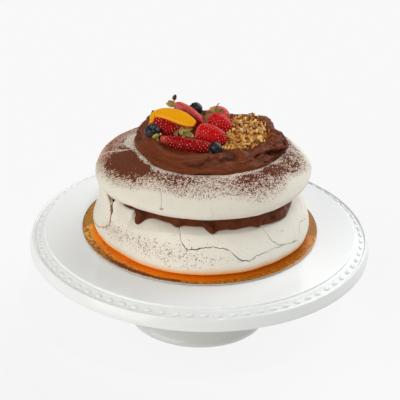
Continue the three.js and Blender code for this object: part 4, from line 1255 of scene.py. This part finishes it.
def berry_rings(length, radius, cut, seed, blunt, slim):
    """Rings of a berry along +Z. With a cut, each ring is D-shaped with its flat at +X."""
    profile = berry_profile(BERRY_ROWS + 2, blunt, slim)[1:-1] * (radius, length)
    r, z = profile[:, :1], profile[:, 1:]
    columns = SKIN_COLUMNS + CUT_COLUMNS
    if cut:
        offset = np.minimum(1.0, 0.35 * r)
        start = np.arccos(-offset / r)
        turn = start + np.linspace(0, 1, SKIN_COLUMNS)[None] * (2 * np.pi - 2 * start)
        line = np.linspace(-1, 1, CUT_COLUMNS + 2)[None, 1:-1]
        x = np.concatenate([r * np.cos(turn), -offset + 0 * line], 1)
        y = np.concatenate([r * np.sin(turn), r * np.sin(start) * line], 1)
        flat = np.repeat([[False] * SKIN_COLUMNS + [True] * CUT_COLUMNS], BERRY_ROWS, axis=0)
        across = np.concatenate([1 + 0 * turn, 0.5 + 0.5 * line + 0 * r], 1)
    else:
        turn = np.linspace(0, 2 * np.pi, columns, endpoint=False)[None]
        x, y = r * np.cos(turn), r * np.sin(turn)
        flat, across = np.zeros(x.shape, bool), np.ones(x.shape)
    rings = np.stack([x, y, z + 0 * x], -1)
    swell = 0.035 * radius * lumps(rings, 0.9 * radius, seed)
    rings[..., :2] *= (1 + swell / radius * ~flat)[..., None]
    return rings, flat, across, np.repeat(z / length, columns, axis=1)


def make_strawberry(
    name, cap, tip, radius, cut=None, bow=(0, 0, 0), blunt=1.0, slim=0.0, paleness=0.0, deep=0.0,
):
    """One berry with dimples. Also gives its seeds' places and directions in space."""
    cap, tip = above(*cap), above(*tip)
    length = np.linalg.norm(tip - cap)
    axis = (tip - cap) / length
    turn = turn_to(axis)
    seed = sum(map(ord, name))
    rings, flat, across, along = berry_rings(length, radius, cut, seed, blunt, slim)
    spots, outward = seed_spots(length, radius, blunt, slim, seed)
    if cut:
        keep = spots[:, 0] < -2.2
        spots, outward = spots[keep], outward[keep]
        side = np.array(cut) - axis * np.dot(cut, axis)
        side /= np.linalg.norm(side)
        turn = np.stack([side, np.cross(axis, side), axis], 1)
    pit = np.exp(-(nearest(spots, rings)[1] / PIT_REACH) ** 2) * ~flat
    rings = rings - facing(rings) * (PIT_DEPTH * pit)[..., None]
    if cut:
        heart = np.exp(-((across - 0.5) / 0.06) ** 2) * np.sin(np.pi * along)
        rings[..., 0] += flat * (0.25 * lumps(rings, 2.4, seed) - 0.6 * heart)
    # Paler skin near the cap, and over some whole berries a painted sheen.
    pale = np.clip(paleness + 0.5 * (1 - smooth_step(0.02, 0.17, along)), 0, 1)
    on_cut = np.zeros(len(ring_faces(*flat.shape)), int)
    on_cut[:flat[:-1].size] = flat[:-1].ravel()

    def placed(points):
        share = np.clip(points[..., 2:] / length, 0, 1)
        return points @ turn.T + cap + np.sin(np.pi * share) * bow

    # The darkening of dimples and of whole berries stored here is painted shade.
    dress(loft_piece(name + "_skin", placed(rings), [BERRY_SKIN, BERRY_FLESH], {
        "pale": pale, "across": across, "along": along, "pit": pit * 0.6, "deep": deep,
    }, on_cut), "strawberry_flesh", name)
    return placed(spots - 0.36 * outward), outward @ turn.T


seeds = [make_strawberry(name, **berry) for name, berry in STRAWBERRIES.items()]
seed_places, seed_ways = (np.concatenate(part) for part in zip(*seeds))
print("seeds:", len(seed_places))

# %% Seeds
def seed_growth():
    """A small drop-shaped seed on every point, its flat side along the skin."""
    g, given, out = new_growth("berry_seeds", {"Seed size": "Vector", "Spread": "Float", "Seed": "Int"})
    drop = g.geo("MeshUVSphere", {"Segments": 8, "Rings": 5, "Radius": 1.0})
    drop = g.geo("Transform", {"Geometry": drop, "Scale": given["Seed size"]})
    way = g.geo("InputNamedAttribute", {"Name": "way"}, data_type="FLOAT_VECTOR")
    size = g.out("FunctionNodeRandomValue", {
        2: g.minus(1.0, given["Spread"]), 3: g.plus(1.0, given["Spread"]), "Seed": given["Seed"],
    }, 1)
    copies = g.geo("InstanceOnPoints", {
        "Points": given["Geometry"], "Instance": drop, "Scale": size,
        "Rotation": g.out("FunctionNodeAlignRotationToVector", {"Vector": way}, axis="Z"),
    })
    return end_growth(g, given, out, copies)


def point_cloud(name, places, ways):
    mesh = bpy.data.meshes.new(name)
    mesh.from_pydata((places * MM).tolist(), [], [])
    layer = mesh.attributes.new("way", "FLOAT_VECTOR", "POINT")
    layer.data.foreach_set("vector", ways.astype(np.float32).ravel())
    return mesh


dress(grown("berry_seeds", seed_growth(), {
    "Seed size": (0.34 * MM, 0.54 * MM, 0.3 * MM), "Spread": 0.5, "Seed": 5, "Finish": SEED,
}, point_cloud("seed_points", seed_places, seed_ways)), "strawberry_flesh")

# %% [markdown]
# ## Caps and stalks
# Most berries keep their cap: a ring of pointed leaves, some still green, some dried to brown. A
# leaf is a small curved grid with a fold along its middle, given thickness by a Solidify modifier.

# %% Leaf finish
def make_leaf_finish(name, tip, root):
    f = Finish(name)
    mixed = f.plus(f.stored("along"), f.remap(f.noise(260, 3), 0.3, 0.7, -0.35, 0.35))
    return f.end(f.noise(1200, 2), 0.0002, 0.5, Base_Color=f.mix(mixed, root, tip), Roughness=0.5)


GREEN = make_leaf_finish("cap_green", (0.3, 0.25, 0.03), (0.17, 0.16, 0.02))
DRIED = make_leaf_finish("cap_dried", (0.2, 0.1, 0.04), (0.3, 0.16, 0.03))
OLIVE = make_leaf_finish("cap_olive", (0.58, 0.36, 0.12), (0.36, 0.26, 0.05))
BUD = make_leaf_finish("bud_green", (0.42, 0.36, 0.05), (0.2, 0.16, 0.02))
KNOB = make_leaf_finish("dried_knob", (0.03, 0.012, 0.006), (0.09, 0.04, 0.02))

# %% Caps
LEAF_UP = (0, -0.88, 0.47)  # the side that a leaf turns to the front, and a little upwards
LEAF_THICKNESS = 0.45
LEAVES = {  # each leaf's root, the way it leaves, its length, width and curl
    "green_caps": (GREEN, [
        ((-13.5, -13, 109.3), (-0.25, -0.6, -0.7), 6.5, 6.2, 0.5),
        ((-16, -12.5, 107.5), (-0.6, -0.4, -0.6), 6.5, 4.5, 0.2),
        ((-29.5, 33, 116.5), (-0.85, 0.3, 0.5), 8, 5.2, 0.2),
        ((-29.5, 32, 115.5), (-0.95, -0.1, -0.1), 9, 5.2, -0.3),
        ((13, 25, 113.5), (0.2, 0.45, 0.85), 6.5, 5.5, 0.3),
    ]),
    "olive_caps": (OLIVE, [
        ((-20.5, -6.5, 111), (-0.15, -0.45, -0.85), 8.5, 4.4, 0.3),
        ((-10.5, -8.5, 110.8), (-0.95, -0.1, -0.3), 9.5, 4.8, 0.3),
        ((-13.5, -15, 107.2), (0.85, -0.4, -0.35), 6, 3.8, 0.3),
        ((-29.5, 32.5, 116), (-0.9, 0.1, 0.25), 9.3, 4.6, 0.4),
        ((11, 24, 113.2), (-0.55, 0.35, 0.75), 7.5, 4.6, 0.2),
        ((-43.5, -14.5, 105.5), (0.9, -0.2, 0.3), 4, 2.4, 0.3),
        ((-45.5, -17.5, 102.8), (0.5, -0.6, -0.4), 4, 2.2, 0.3),
    ]),
    "dried_caps": (DRIED, [
        ((-24, -6, 106.5), (-0.7, -0.4, -0.5), 7, 3.6, 0.2),
        ((-25.5, -8, 105.5), (-0.2, -0.6, -0.6), 6, 3, 0.2),
        ((4.2, 20, 113.2), (-0.15, -0.47, -0.88), 9.8, 5.2, 0.3),
        ((3.4, 19.5, 112.5), (-0.5, -0.3, -0.8), 8, 4, 0.2),
        ((4, 20, 112.5), (0.6, -0.5, -0.7), 6, 4, 0.2),
        ((11, 23.5, 112.6), (-1, 0.05, 0.1), 9.5, 5, 0.2),
        ((11, 23.5, 112.6), (-0.9, 0.2, 0.45), 9, 4.5, -0.2),
        ((15, 25, 113), (0.8, 0.3, 0.5), 6.5, 4, 0.2),
    ]),
}


def leaf(root, out, length, width, curl):
    """Points of one leaf, its faces, and how far along it each point is."""
    out = np.array(out, float)
    out /= np.linalg.norm(out)
    up = np.array(LEAF_UP) - out * np.dot(LEAF_UP, out)
    up /= np.linalg.norm(up)
    t, s = np.linspace(0, 1, 12)[:, None], np.linspace(-1, 1, 7)[None]
    wide = 0.5 * width * np.sin(np.pi * (0.12 + 0.86 * t)) ** 0.8 * s
    forward = length * np.sin(curl * t) / abs(curl) + 0 * s
    rise = length * (1 - np.cos(curl * t)) / curl + 0.35 * np.abs(wide)
    side = np.cross(up, out)
    points = above(*root) + forward[..., None] * out + rise[..., None] * up + wide[..., None] * side
    index = np.arange(wide.size).reshape(wide.shape)
    faces = np.stack([index[:-1, :-1], index[:-1, 1:], index[1:, 1:], index[1:, :-1]], -1)
    return points.reshape(-1, 3), faces.reshape(-1, 4).tolist(), (t + 0 * s).ravel()


def joined(parts):
    """Points, faces and values of several parts as those of one."""
    points, faces, values = zip(*parts)
    starts = itertools.accumulate(map(len, points), initial=0)
    moved = [[start + v for v in face] for start, some in zip(starts, faces) for face in some]
    return np.concatenate(points), moved, np.concatenate(values)


for name, (material, leaves) in LEAVES.items():
    points, faces, along = joined([leaf(*form) for form in leaves])
    caps = mesh_piece(name, points, faces, [material], {"along": along})
    thick = caps.modifiers.new("thickness", "SOLIDIFY")
    thick.thickness, thick.offset = LEAF_THICKNESS * MM, 0
    dress(caps, "berry_leaf")

# %% Stalks
STALK_SIDES = 12


def make_stalk(name, material, start, end, radii, sway=0.0):
    """A thin tube between two points, swaying sideways."""
    start, end = above(*start), above(*end)
    t = np.linspace(0, 1, 14)[:, None]
    middle = start + (end - start) * t + np.sin(np.pi * t) * (sway, 0, 0)
    widths = np.interp(t[:, 0], np.linspace(0, 1, len(radii)), radii)
    turn = np.linspace(0, 2 * np.pi, STALK_SIDES, endpoint=False)
    circle = np.stack([np.cos(turn), np.sin(turn), 0 * turn], -1)
    rings = np.array([
        circle * width @ turn_to(step).T + point
        for point, step, width in zip(middle, np.gradient(middle, axis=0), widths)
    ])
    dress(loft_piece(name, rings, [material], {"along": t}), "berry_leaf")


make_stalk("stalk_half", OLIVE, (-30.4, 33.5, 115.5), (-30, 41.5, 119.6), [1.6, 0.9, 0.9, 1.0])
make_stalk(
    "stalk_half_end", KNOB, (-30.3, 41.3, 118.8), (-28.6, 41.5, 124.4), [0.8, 2.1, 2.3, 2.1, 1.7, 0.9], -0.3,
)
make_stalk("stalk_back", KNOB, (12.5, 30.5, 116.5), (15.6, 31, 121.5), [0.6, 0.45, 0.4, 0.5, 0.35], -0.6)
make_stalk("berry_bud", BUD, (-46.8, -16.5, 100.8), (-46.2, -14.8, 108.6), [1.6, 3.6, 4.1, 4.0, 3.0, 0.8])
make_stalk("brown_flake", KNOB, (-51.5, 22, 108.5), (-50.4, 22.5, 114.8), [2.4, 2.4, 2.0, 1.7, 1.0], 0.3)

# %% [markdown]
# ## Blueberries and mango
# A blueberry is a ball with a small crown where the flower was, under a pale bloom that rubs off
# in patches. The mango is one cut crescent: its broad faces are flat and wet, and its thin edge
# is deeper orange.

# %% Blueberries
BLUEBERRIES = {  # centre, radius, flatness and the way its crown looks
    "blueberry_left": ((-49.4, -10.5, 107.2), 8.3, 0.78, (0.15, -0.2, 1)),
    "blueberry_back": ((-8, 46, 107.6), 7.1, 0.96, (-0.6, -0.5, 0.7)),
    "blueberry_front": ((12.3, -40.8, 103.8), 7.3, 0.9, (-0.9, -1, 0.1)),
}
CROWN = [  # radius, height and how far the five points of the crown stand out
    (0.42, 0.87, 0.02), (0.4, 0.9, 0.06), (0.4, 0.93, 0.1), (0.35, 0.92, 0.09), (0.31, 0.86, 0.03),
    (0.27, 0.79, 0), (0.15, 0.77, 0), (0.05, 0.79, 0),
]


def make_blueberry_skin():
    f = Finish("blueberry_skin")
    bloom = f.remap(f.noise(150, 4), 0.42, 0.68)
    return f.end(
        f.noise(600, 2), 0.0001, 0.4, Base_Color=f.mix(bloom, (0.007, 0.005, 0.009), (0.022, 0.026, 0.03)),
        Roughness=f.remap(bloom, 0, 1, 0.22, 0.5), Specular_IOR_Level=0.3,
    )


BLUEBERRY = make_blueberry_skin()


def make_blueberry(name, centre, radius, flatness, crown_way):
    turn = np.linspace(0, 2 * np.pi, 60, endpoint=False)
    star = 0.5 + 0.5 * np.cos(5 * turn)
    ball = [(math.cos(a), 0.96 * math.sin(a), 0) for a in np.radians(np.linspace(-88, 62, 34))]
    rows = [(wide + lobe * star, high + lobe * star) for wide, high, lobe in (*ball, *CROWN)]
    rings = np.array([np.stack([w * np.cos(turn), w * np.sin(turn), h], -1) for w, h in rows]) * radius
    rings = rings * (1, 1, flatness) @ turn_to(crown_way).T + above(*centre)
    rings += 0.12 * lumps(rings, 4, len(name))[..., None]
    dress(loft_piece(name + "_skin", rings, [BLUEBERRY]), "blueberry_skin", name)


for berry, form in BLUEBERRIES.items():
    make_blueberry(berry, *form)

# %% Mango
MANGO_LINE = [  # place of the middle line and half of the width there
    (-51.2, -1.0, 111.5, 2.2), (-50.4, 4.5, 113.2, 3.6), (-47.5, 8.8, 115.3, 4.9), (-42, 9.3, 117.3, 6.1),
    (-32.8, 5.2, 118.5, 7.2), (-24.5, -0.8, 118.4, 8.0), (-16, -7.3, 117.8, 8.4), (-7.8, -12.8, 116.6, 7.8),
]
MANGO_OUT = np.array([0.1, 0.82, 0.56])  # the way its thin outer edge looks
MANGO_ROWS, MANGO_THICKNESS = 90, 8.5


def make_mango_finish():
    f = Finish("mango_flesh")
    fibres = f.out("ShaderNodeMapping", {"Vector": f.place, "Scale": (90, 500, 500)})
    strands, edge = f.noise(1, 3, fibres), f.stored("edge")
    tone = f.mix(strands, (0.74, 0.29, 0.0012), (0.8, 0.35, 0.003))
    tone = f.mix(f.remap(edge, 0.45, 0.7), tone, (0.86, 0.36, 0.025))
    tone = f.mix(f.remap(edge, 0.86, 0.97), tone, (0.66, 0.15, 0.002))
    return f.end(strands, 0.0003, 0.4, Base_Color=tone, Roughness=0.24, Specular_IOR_Level=0.12)


def squarish(value):
    return np.sign(value) * np.abs(value) ** 0.6


def make_mango():
    t = (np.linspace(0.4, MANGO_ROWS - 0.4, MANGO_ROWS) / MANGO_ROWS)[:, None]
    knots = np.array(MANGO_LINE)
    curve = np.polyfit(np.linspace(0, 1, len(knots)), knots, 5)
    line = sum(term * t ** (5 - power) for power, term in enumerate(curve))
    centre, half_width = line[:, :3] + (0, 0, BOARD_TOP), line[:, 3:]
    along = np.gradient(centre, axis=0)
    along /= np.linalg.norm(along, axis=1, keepdims=True)
    side = MANGO_OUT - along * (along @ MANGO_OUT)[:, None]
    side /= np.linalg.norm(side, axis=1, keepdims=True)
    full = np.sin(np.pi * t) ** 0.27
    turn = np.linspace(0, 2 * np.pi, 64, endpoint=False)[None]
    inner = np.sin(turn)
    wide = half_width * full * squarish(inner)
    deep = 0.5 * MANGO_THICKNESS * full * (0.78 + 0.22 * inner) * squarish(np.cos(turn))
    face = np.cross(along, side)
    rings = centre[:, None] - wide[..., None] * side[:, None] + deep[..., None] * face[:, None]
    rings = rings + 0.25 * facing(rings) * lumps(rings, 5, 9)[..., None]
    return loft_piece("mango_crescent", rings, [make_mango_finish()], {"edge": np.clip(inner, 0, 1)})


dress(make_mango(), "mango_flesh", "mango_slice")

# %% [markdown]
# ## Chopped nuts
# The heap is hundreds of broken pieces: flakes, slivers and chunks, from pale cream to caramel,
# and a few with dark skin. A low mound fills the inside. Two Geometry Nodes passes lay the pieces
# on it, big ones first, each turned at random, and give every piece a tone that its finish reads.

# %% Nut finish and chips
CHIP_FORMS = ((1.05, 0.75, 0.38), (1.1, 0.5, 0.42), (0.95, 0.8, 0.6), (1.15, 0.6, 0.26))


def make_nut_finish():
    f = Finish("roasted_nuts")
    mottle = f.remap(f.noise(420, 3), 0.3, 0.7, -0.12, 0.12)
    tone = f.ramp(
        f.plus(f.stored("tone"), mottle), (0.0, (0.1, 0.03, 0.012)), (0.1, (0.26, 0.085, 0.018)),
        (0.2, (0.52, 0.2, 0.03)), (0.5, (0.72, 0.36, 0.07)), (0.8, (0.82, 0.52, 0.16)),
        (1.0, (0.88, 0.66, 0.33)),
    )
    return f.end(f.noise(900, 2), 0.0002, 0.6, Base_Color=tone, Roughness=0.45, Specular_IOR_Level=0.2)


NUTS = make_nut_finish()


def make_chip(number):
    """A broken piece about one unit across: the hull of a few random corners."""
    random = np.random.default_rng(100 + number)
    corners = random.normal(size=(8, 3))
    corners = corners / np.linalg.norm(corners, axis=1, keepdims=True) * CHIP_FORMS[number % 4] * 0.5
    corners[:, 2] += 0.18 * corners[:, 0] ** 2 * random.uniform(-2, 2)
    mesh = bpy.data.meshes.new(f"chip_{number}")
    form = bmesh.new()
    for corner in corners:
        form.verts.new(corner)
    hull = bmesh.ops.convex_hull(form, input=form.verts)
    inside = [part for part in hull["geom_interior"] if isinstance(part, bmesh.types.BMVert)]
    bmesh.ops.delete(form, geom=inside, context="VERTS")
    bmesh.ops.recalc_face_normals(form, faces=form.faces)
    form.to_mesh(mesh)
    form.free()
    return bpy.data.objects.new(f"chip_{number}", mesh)


def make_chips(name, numbers):
    chips = bpy.data.collections.new(name)
    for number in numbers:
        chips.objects.link(make_chip(number))
    return chips


chips, crumbs = make_chips("chips", range(8)), make_chips("crumbs", range(20, 24))

# %% Scattering pieces on a surface
def scatter_growth():
    """Pieces of a collection strewn on a mesh, as thickly as the mesh's attribute says."""
    g, given, out = new_growth("strewn", {
        "Pieces": "Collection", "Thickness": "String", "Per square metre": "Float", "Spacing": "Float",
        "Smallest": "Float", "Largest": "Float", "Raised": "Float", "Seed": "Int",
    })
    here = g.geo("InputNamedAttribute", {"Name": given["Thickness"]}, data_type="FLOAT")
    points, normal = g.node("GeometryNodeDistributePointsOnFaces", {
        "Mesh": given["Geometry"], "Distance Min": given["Spacing"], "Density Max": given["Per square metre"],
        "Density Factor": here, "Seed": given["Seed"],
    }, distribute_method="POISSON").outputs[:2]
    shapes = {"Collection": given["Pieces"], "Separate Children": True, "Reset Children": True}

    def chance(number, low, high):
        seed = g.plus(given["Seed"], number)
        return g.out("FunctionNodeRandomValue", {2: low, 3: high, "Seed": seed}, 1)

    spin = g.out("FunctionNodeRandomValue", {
        0: (0, 0, 0), 1: (2 * math.pi,) * 3, "Seed": g.plus(given["Seed"], 1),
    }, data_type="FLOAT_VECTOR")
    lift = {0: normal, "Scale": chance(3, 0.0, given["Raised"])}
    lift = g.out("ShaderNodeVectorMath", lift, operation="SCALE")
    copies = g.geo("InstanceOnPoints", {
        "Points": g.geo("SetPosition", {"Geometry": points, "Offset": lift}),
        "Instance": g.geo("CollectionInfo", shapes), "Pick Instance": True,
        "Rotation": g.out("FunctionNodeEulerToRotation", {0: spin}),
        "Scale": chance(2, given["Smallest"], given["Largest"]),
    })
    toned = g.geo("StoreNamedAttribute", {
        "Geometry": copies, "Name": "tone", "Value": chance(4, 0.0, 1.0),
    }, data_type="FLOAT", domain="INSTANCE")
    return end_growth(g, given, out, toned, smooth=False)


SCATTER = scatter_growth()


def scattered(name, source, slot, pieces, thickness, finish, density, spacing, sizes, raised, seed):
    """Pieces strewn on a copy of a mesh, as one plain piece. Its measures are in millimetres."""
    dress(grown(name, SCATTER, {
        "Pieces": pieces, "Thickness": thickness, "Per square metre": density, "Spacing": spacing * MM,
        "Smallest": sizes[0] * MM, "Largest": sizes[1] * MM, "Raised": raised * MM, "Seed": seed,
        "Finish": finish,
    }, source.data.copy()), slot)


# %% The heap
NUTS_X, NUTS_Y, NUTS_HIGH, NUTS_SHORT, NUTS_LONG, NUTS_LEAN = 42.5, 7.5, 101, 20.5, 39.0, math.radians(10)
MOUND_SHAPE = [  # share of the radius, and height
    (0.2, -6), (0.85, -6), (0.99, -3.5), (1, -1.2), (0.93, 1.0), (0.74, 2.6), (0.45, 3.6), (0.15, 4),
]


def make_nut_core():
    """The low mound under the nuts."""
    turn = np.linspace(0, 2 * np.pi, 96, endpoint=False)
    profile = smooth_profile(knots_of(turn, MOUND_SHAPE), 40)
    share, height = profile[..., 0], profile[..., 1]
    x, y = NUTS_SHORT * share * np.cos(turn), NUTS_LONG * share * np.sin(turn)
    c, s = math.cos(NUTS_LEAN), math.sin(NUTS_LEAN)
    rings = np.stack([
        NUTS_X + c * x + s * y, NUTS_Y - s * x + c * y, BOARD_TOP + NUTS_HIGH + height,
    ], -1)
    rings = rings + facing(rings) * (0.7 * layered(rings, 3.4, 77))[..., None]
    values = {"tone": 0.12 + 0.12 * lumps(rings, 3, 5), "thick": smooth_step(-4.5, -2, height)}
    return loft_piece("nut_core", rings, [NUTS], values)


nut_core = make_nut_core()
for name, *form in (
    ("nuts_coarse", 2.5e5, 4.4, (5.5, 10.5), 1.4, 3), ("nuts_fine", 2.6e5, 3.1, (3.0, 6.4), 4.6, 8),
):
    scattered(name, nut_core, "roasted_nuts", chips, "thick", NUTS, *form)
dress(nut_core, "roasted_nuts", "chopped_nuts")

# %% Strays round the heap
STRAYS = [
    (19, -37), (21.5, -34.5), (24, -38), (22, -31), (26, -33), (27, -28), (24, -26), (30, -30), (29, -36),
    (33, -34), (18, -33.5), (31, -25), (34, -29), (25.5, -35.5), (37, -35), (28, -22), (22.5, -36.5),
]
STRAYS_HIGH, STRAY_SIZES, STRAY_TONES = 103.3, (4.5, 7.5), (0.35, 1.0)


def stray_chips():
    """Single chips at given places on the cream."""
    random = np.random.default_rng(21)
    for (x, y), chip in zip(STRAYS, itertools.cycle(chips.objects)):
        corners = np.array([v.co for v in chip.data.vertices])
        spin = np.array(Quaternion(random.normal(size=4)).normalized().to_matrix())
        points = corners @ spin.T * random.uniform(*STRAY_SIZES) + above(x, y, STRAYS_HIGH)
        faces = [list(face.vertices) for face in chip.data.polygons]
        yield points, faces, [random.uniform(*STRAY_TONES)] * len(corners)


points, faces, tone = joined(stray_chips())
dress(mesh_piece("nut_strays", points, faces, [NUTS], {"tone": tone}), "roasted_nuts")

# %% [markdown]
# ## Cocoa crumbs
# The finish draws the fine powder. The coarser grains are real: tiny crumbs strewn on the upper
# meringue, as thickly as the cocoa lies there.

# %% Crumbs of cocoa
def make_cocoa_finish():
    f = Finish("cocoa_powder")
    fine = f.noise(1500, 2)
    tone = f.mix(fine, (0.09, 0.024, 0.011), (0.16, 0.045, 0.022))
    return f.end(fine, 0.0001, 0.6, Base_Color=tone, Roughness=0.9)


scattered(
    "cocoa_crumbs", upper, "cocoa_powder", crumbs, "cocoa", make_cocoa_finish(), 3.2e5, 0.9, (0.35, 0.95),
    0.1, 12,
)

# %% Floor finish
PAPER, GLOW = 0.1, 0.835
floor.data.materials.append(Finish("pale_floor").end(
    Base_Color=(PAPER,) * 3, Roughness=1.0, Specular_IOR_Level=0.0, Emission_Color=(GLOW,) * 3,
    Emission_Strength=1.0,
))

# %% Remove the shapes that the pieces were copied from
for collection in (chips, crumbs):
    for shape in list(collection.objects):
        bpy.data.objects.remove(shape)
    bpy.data.collections.remove(collection)
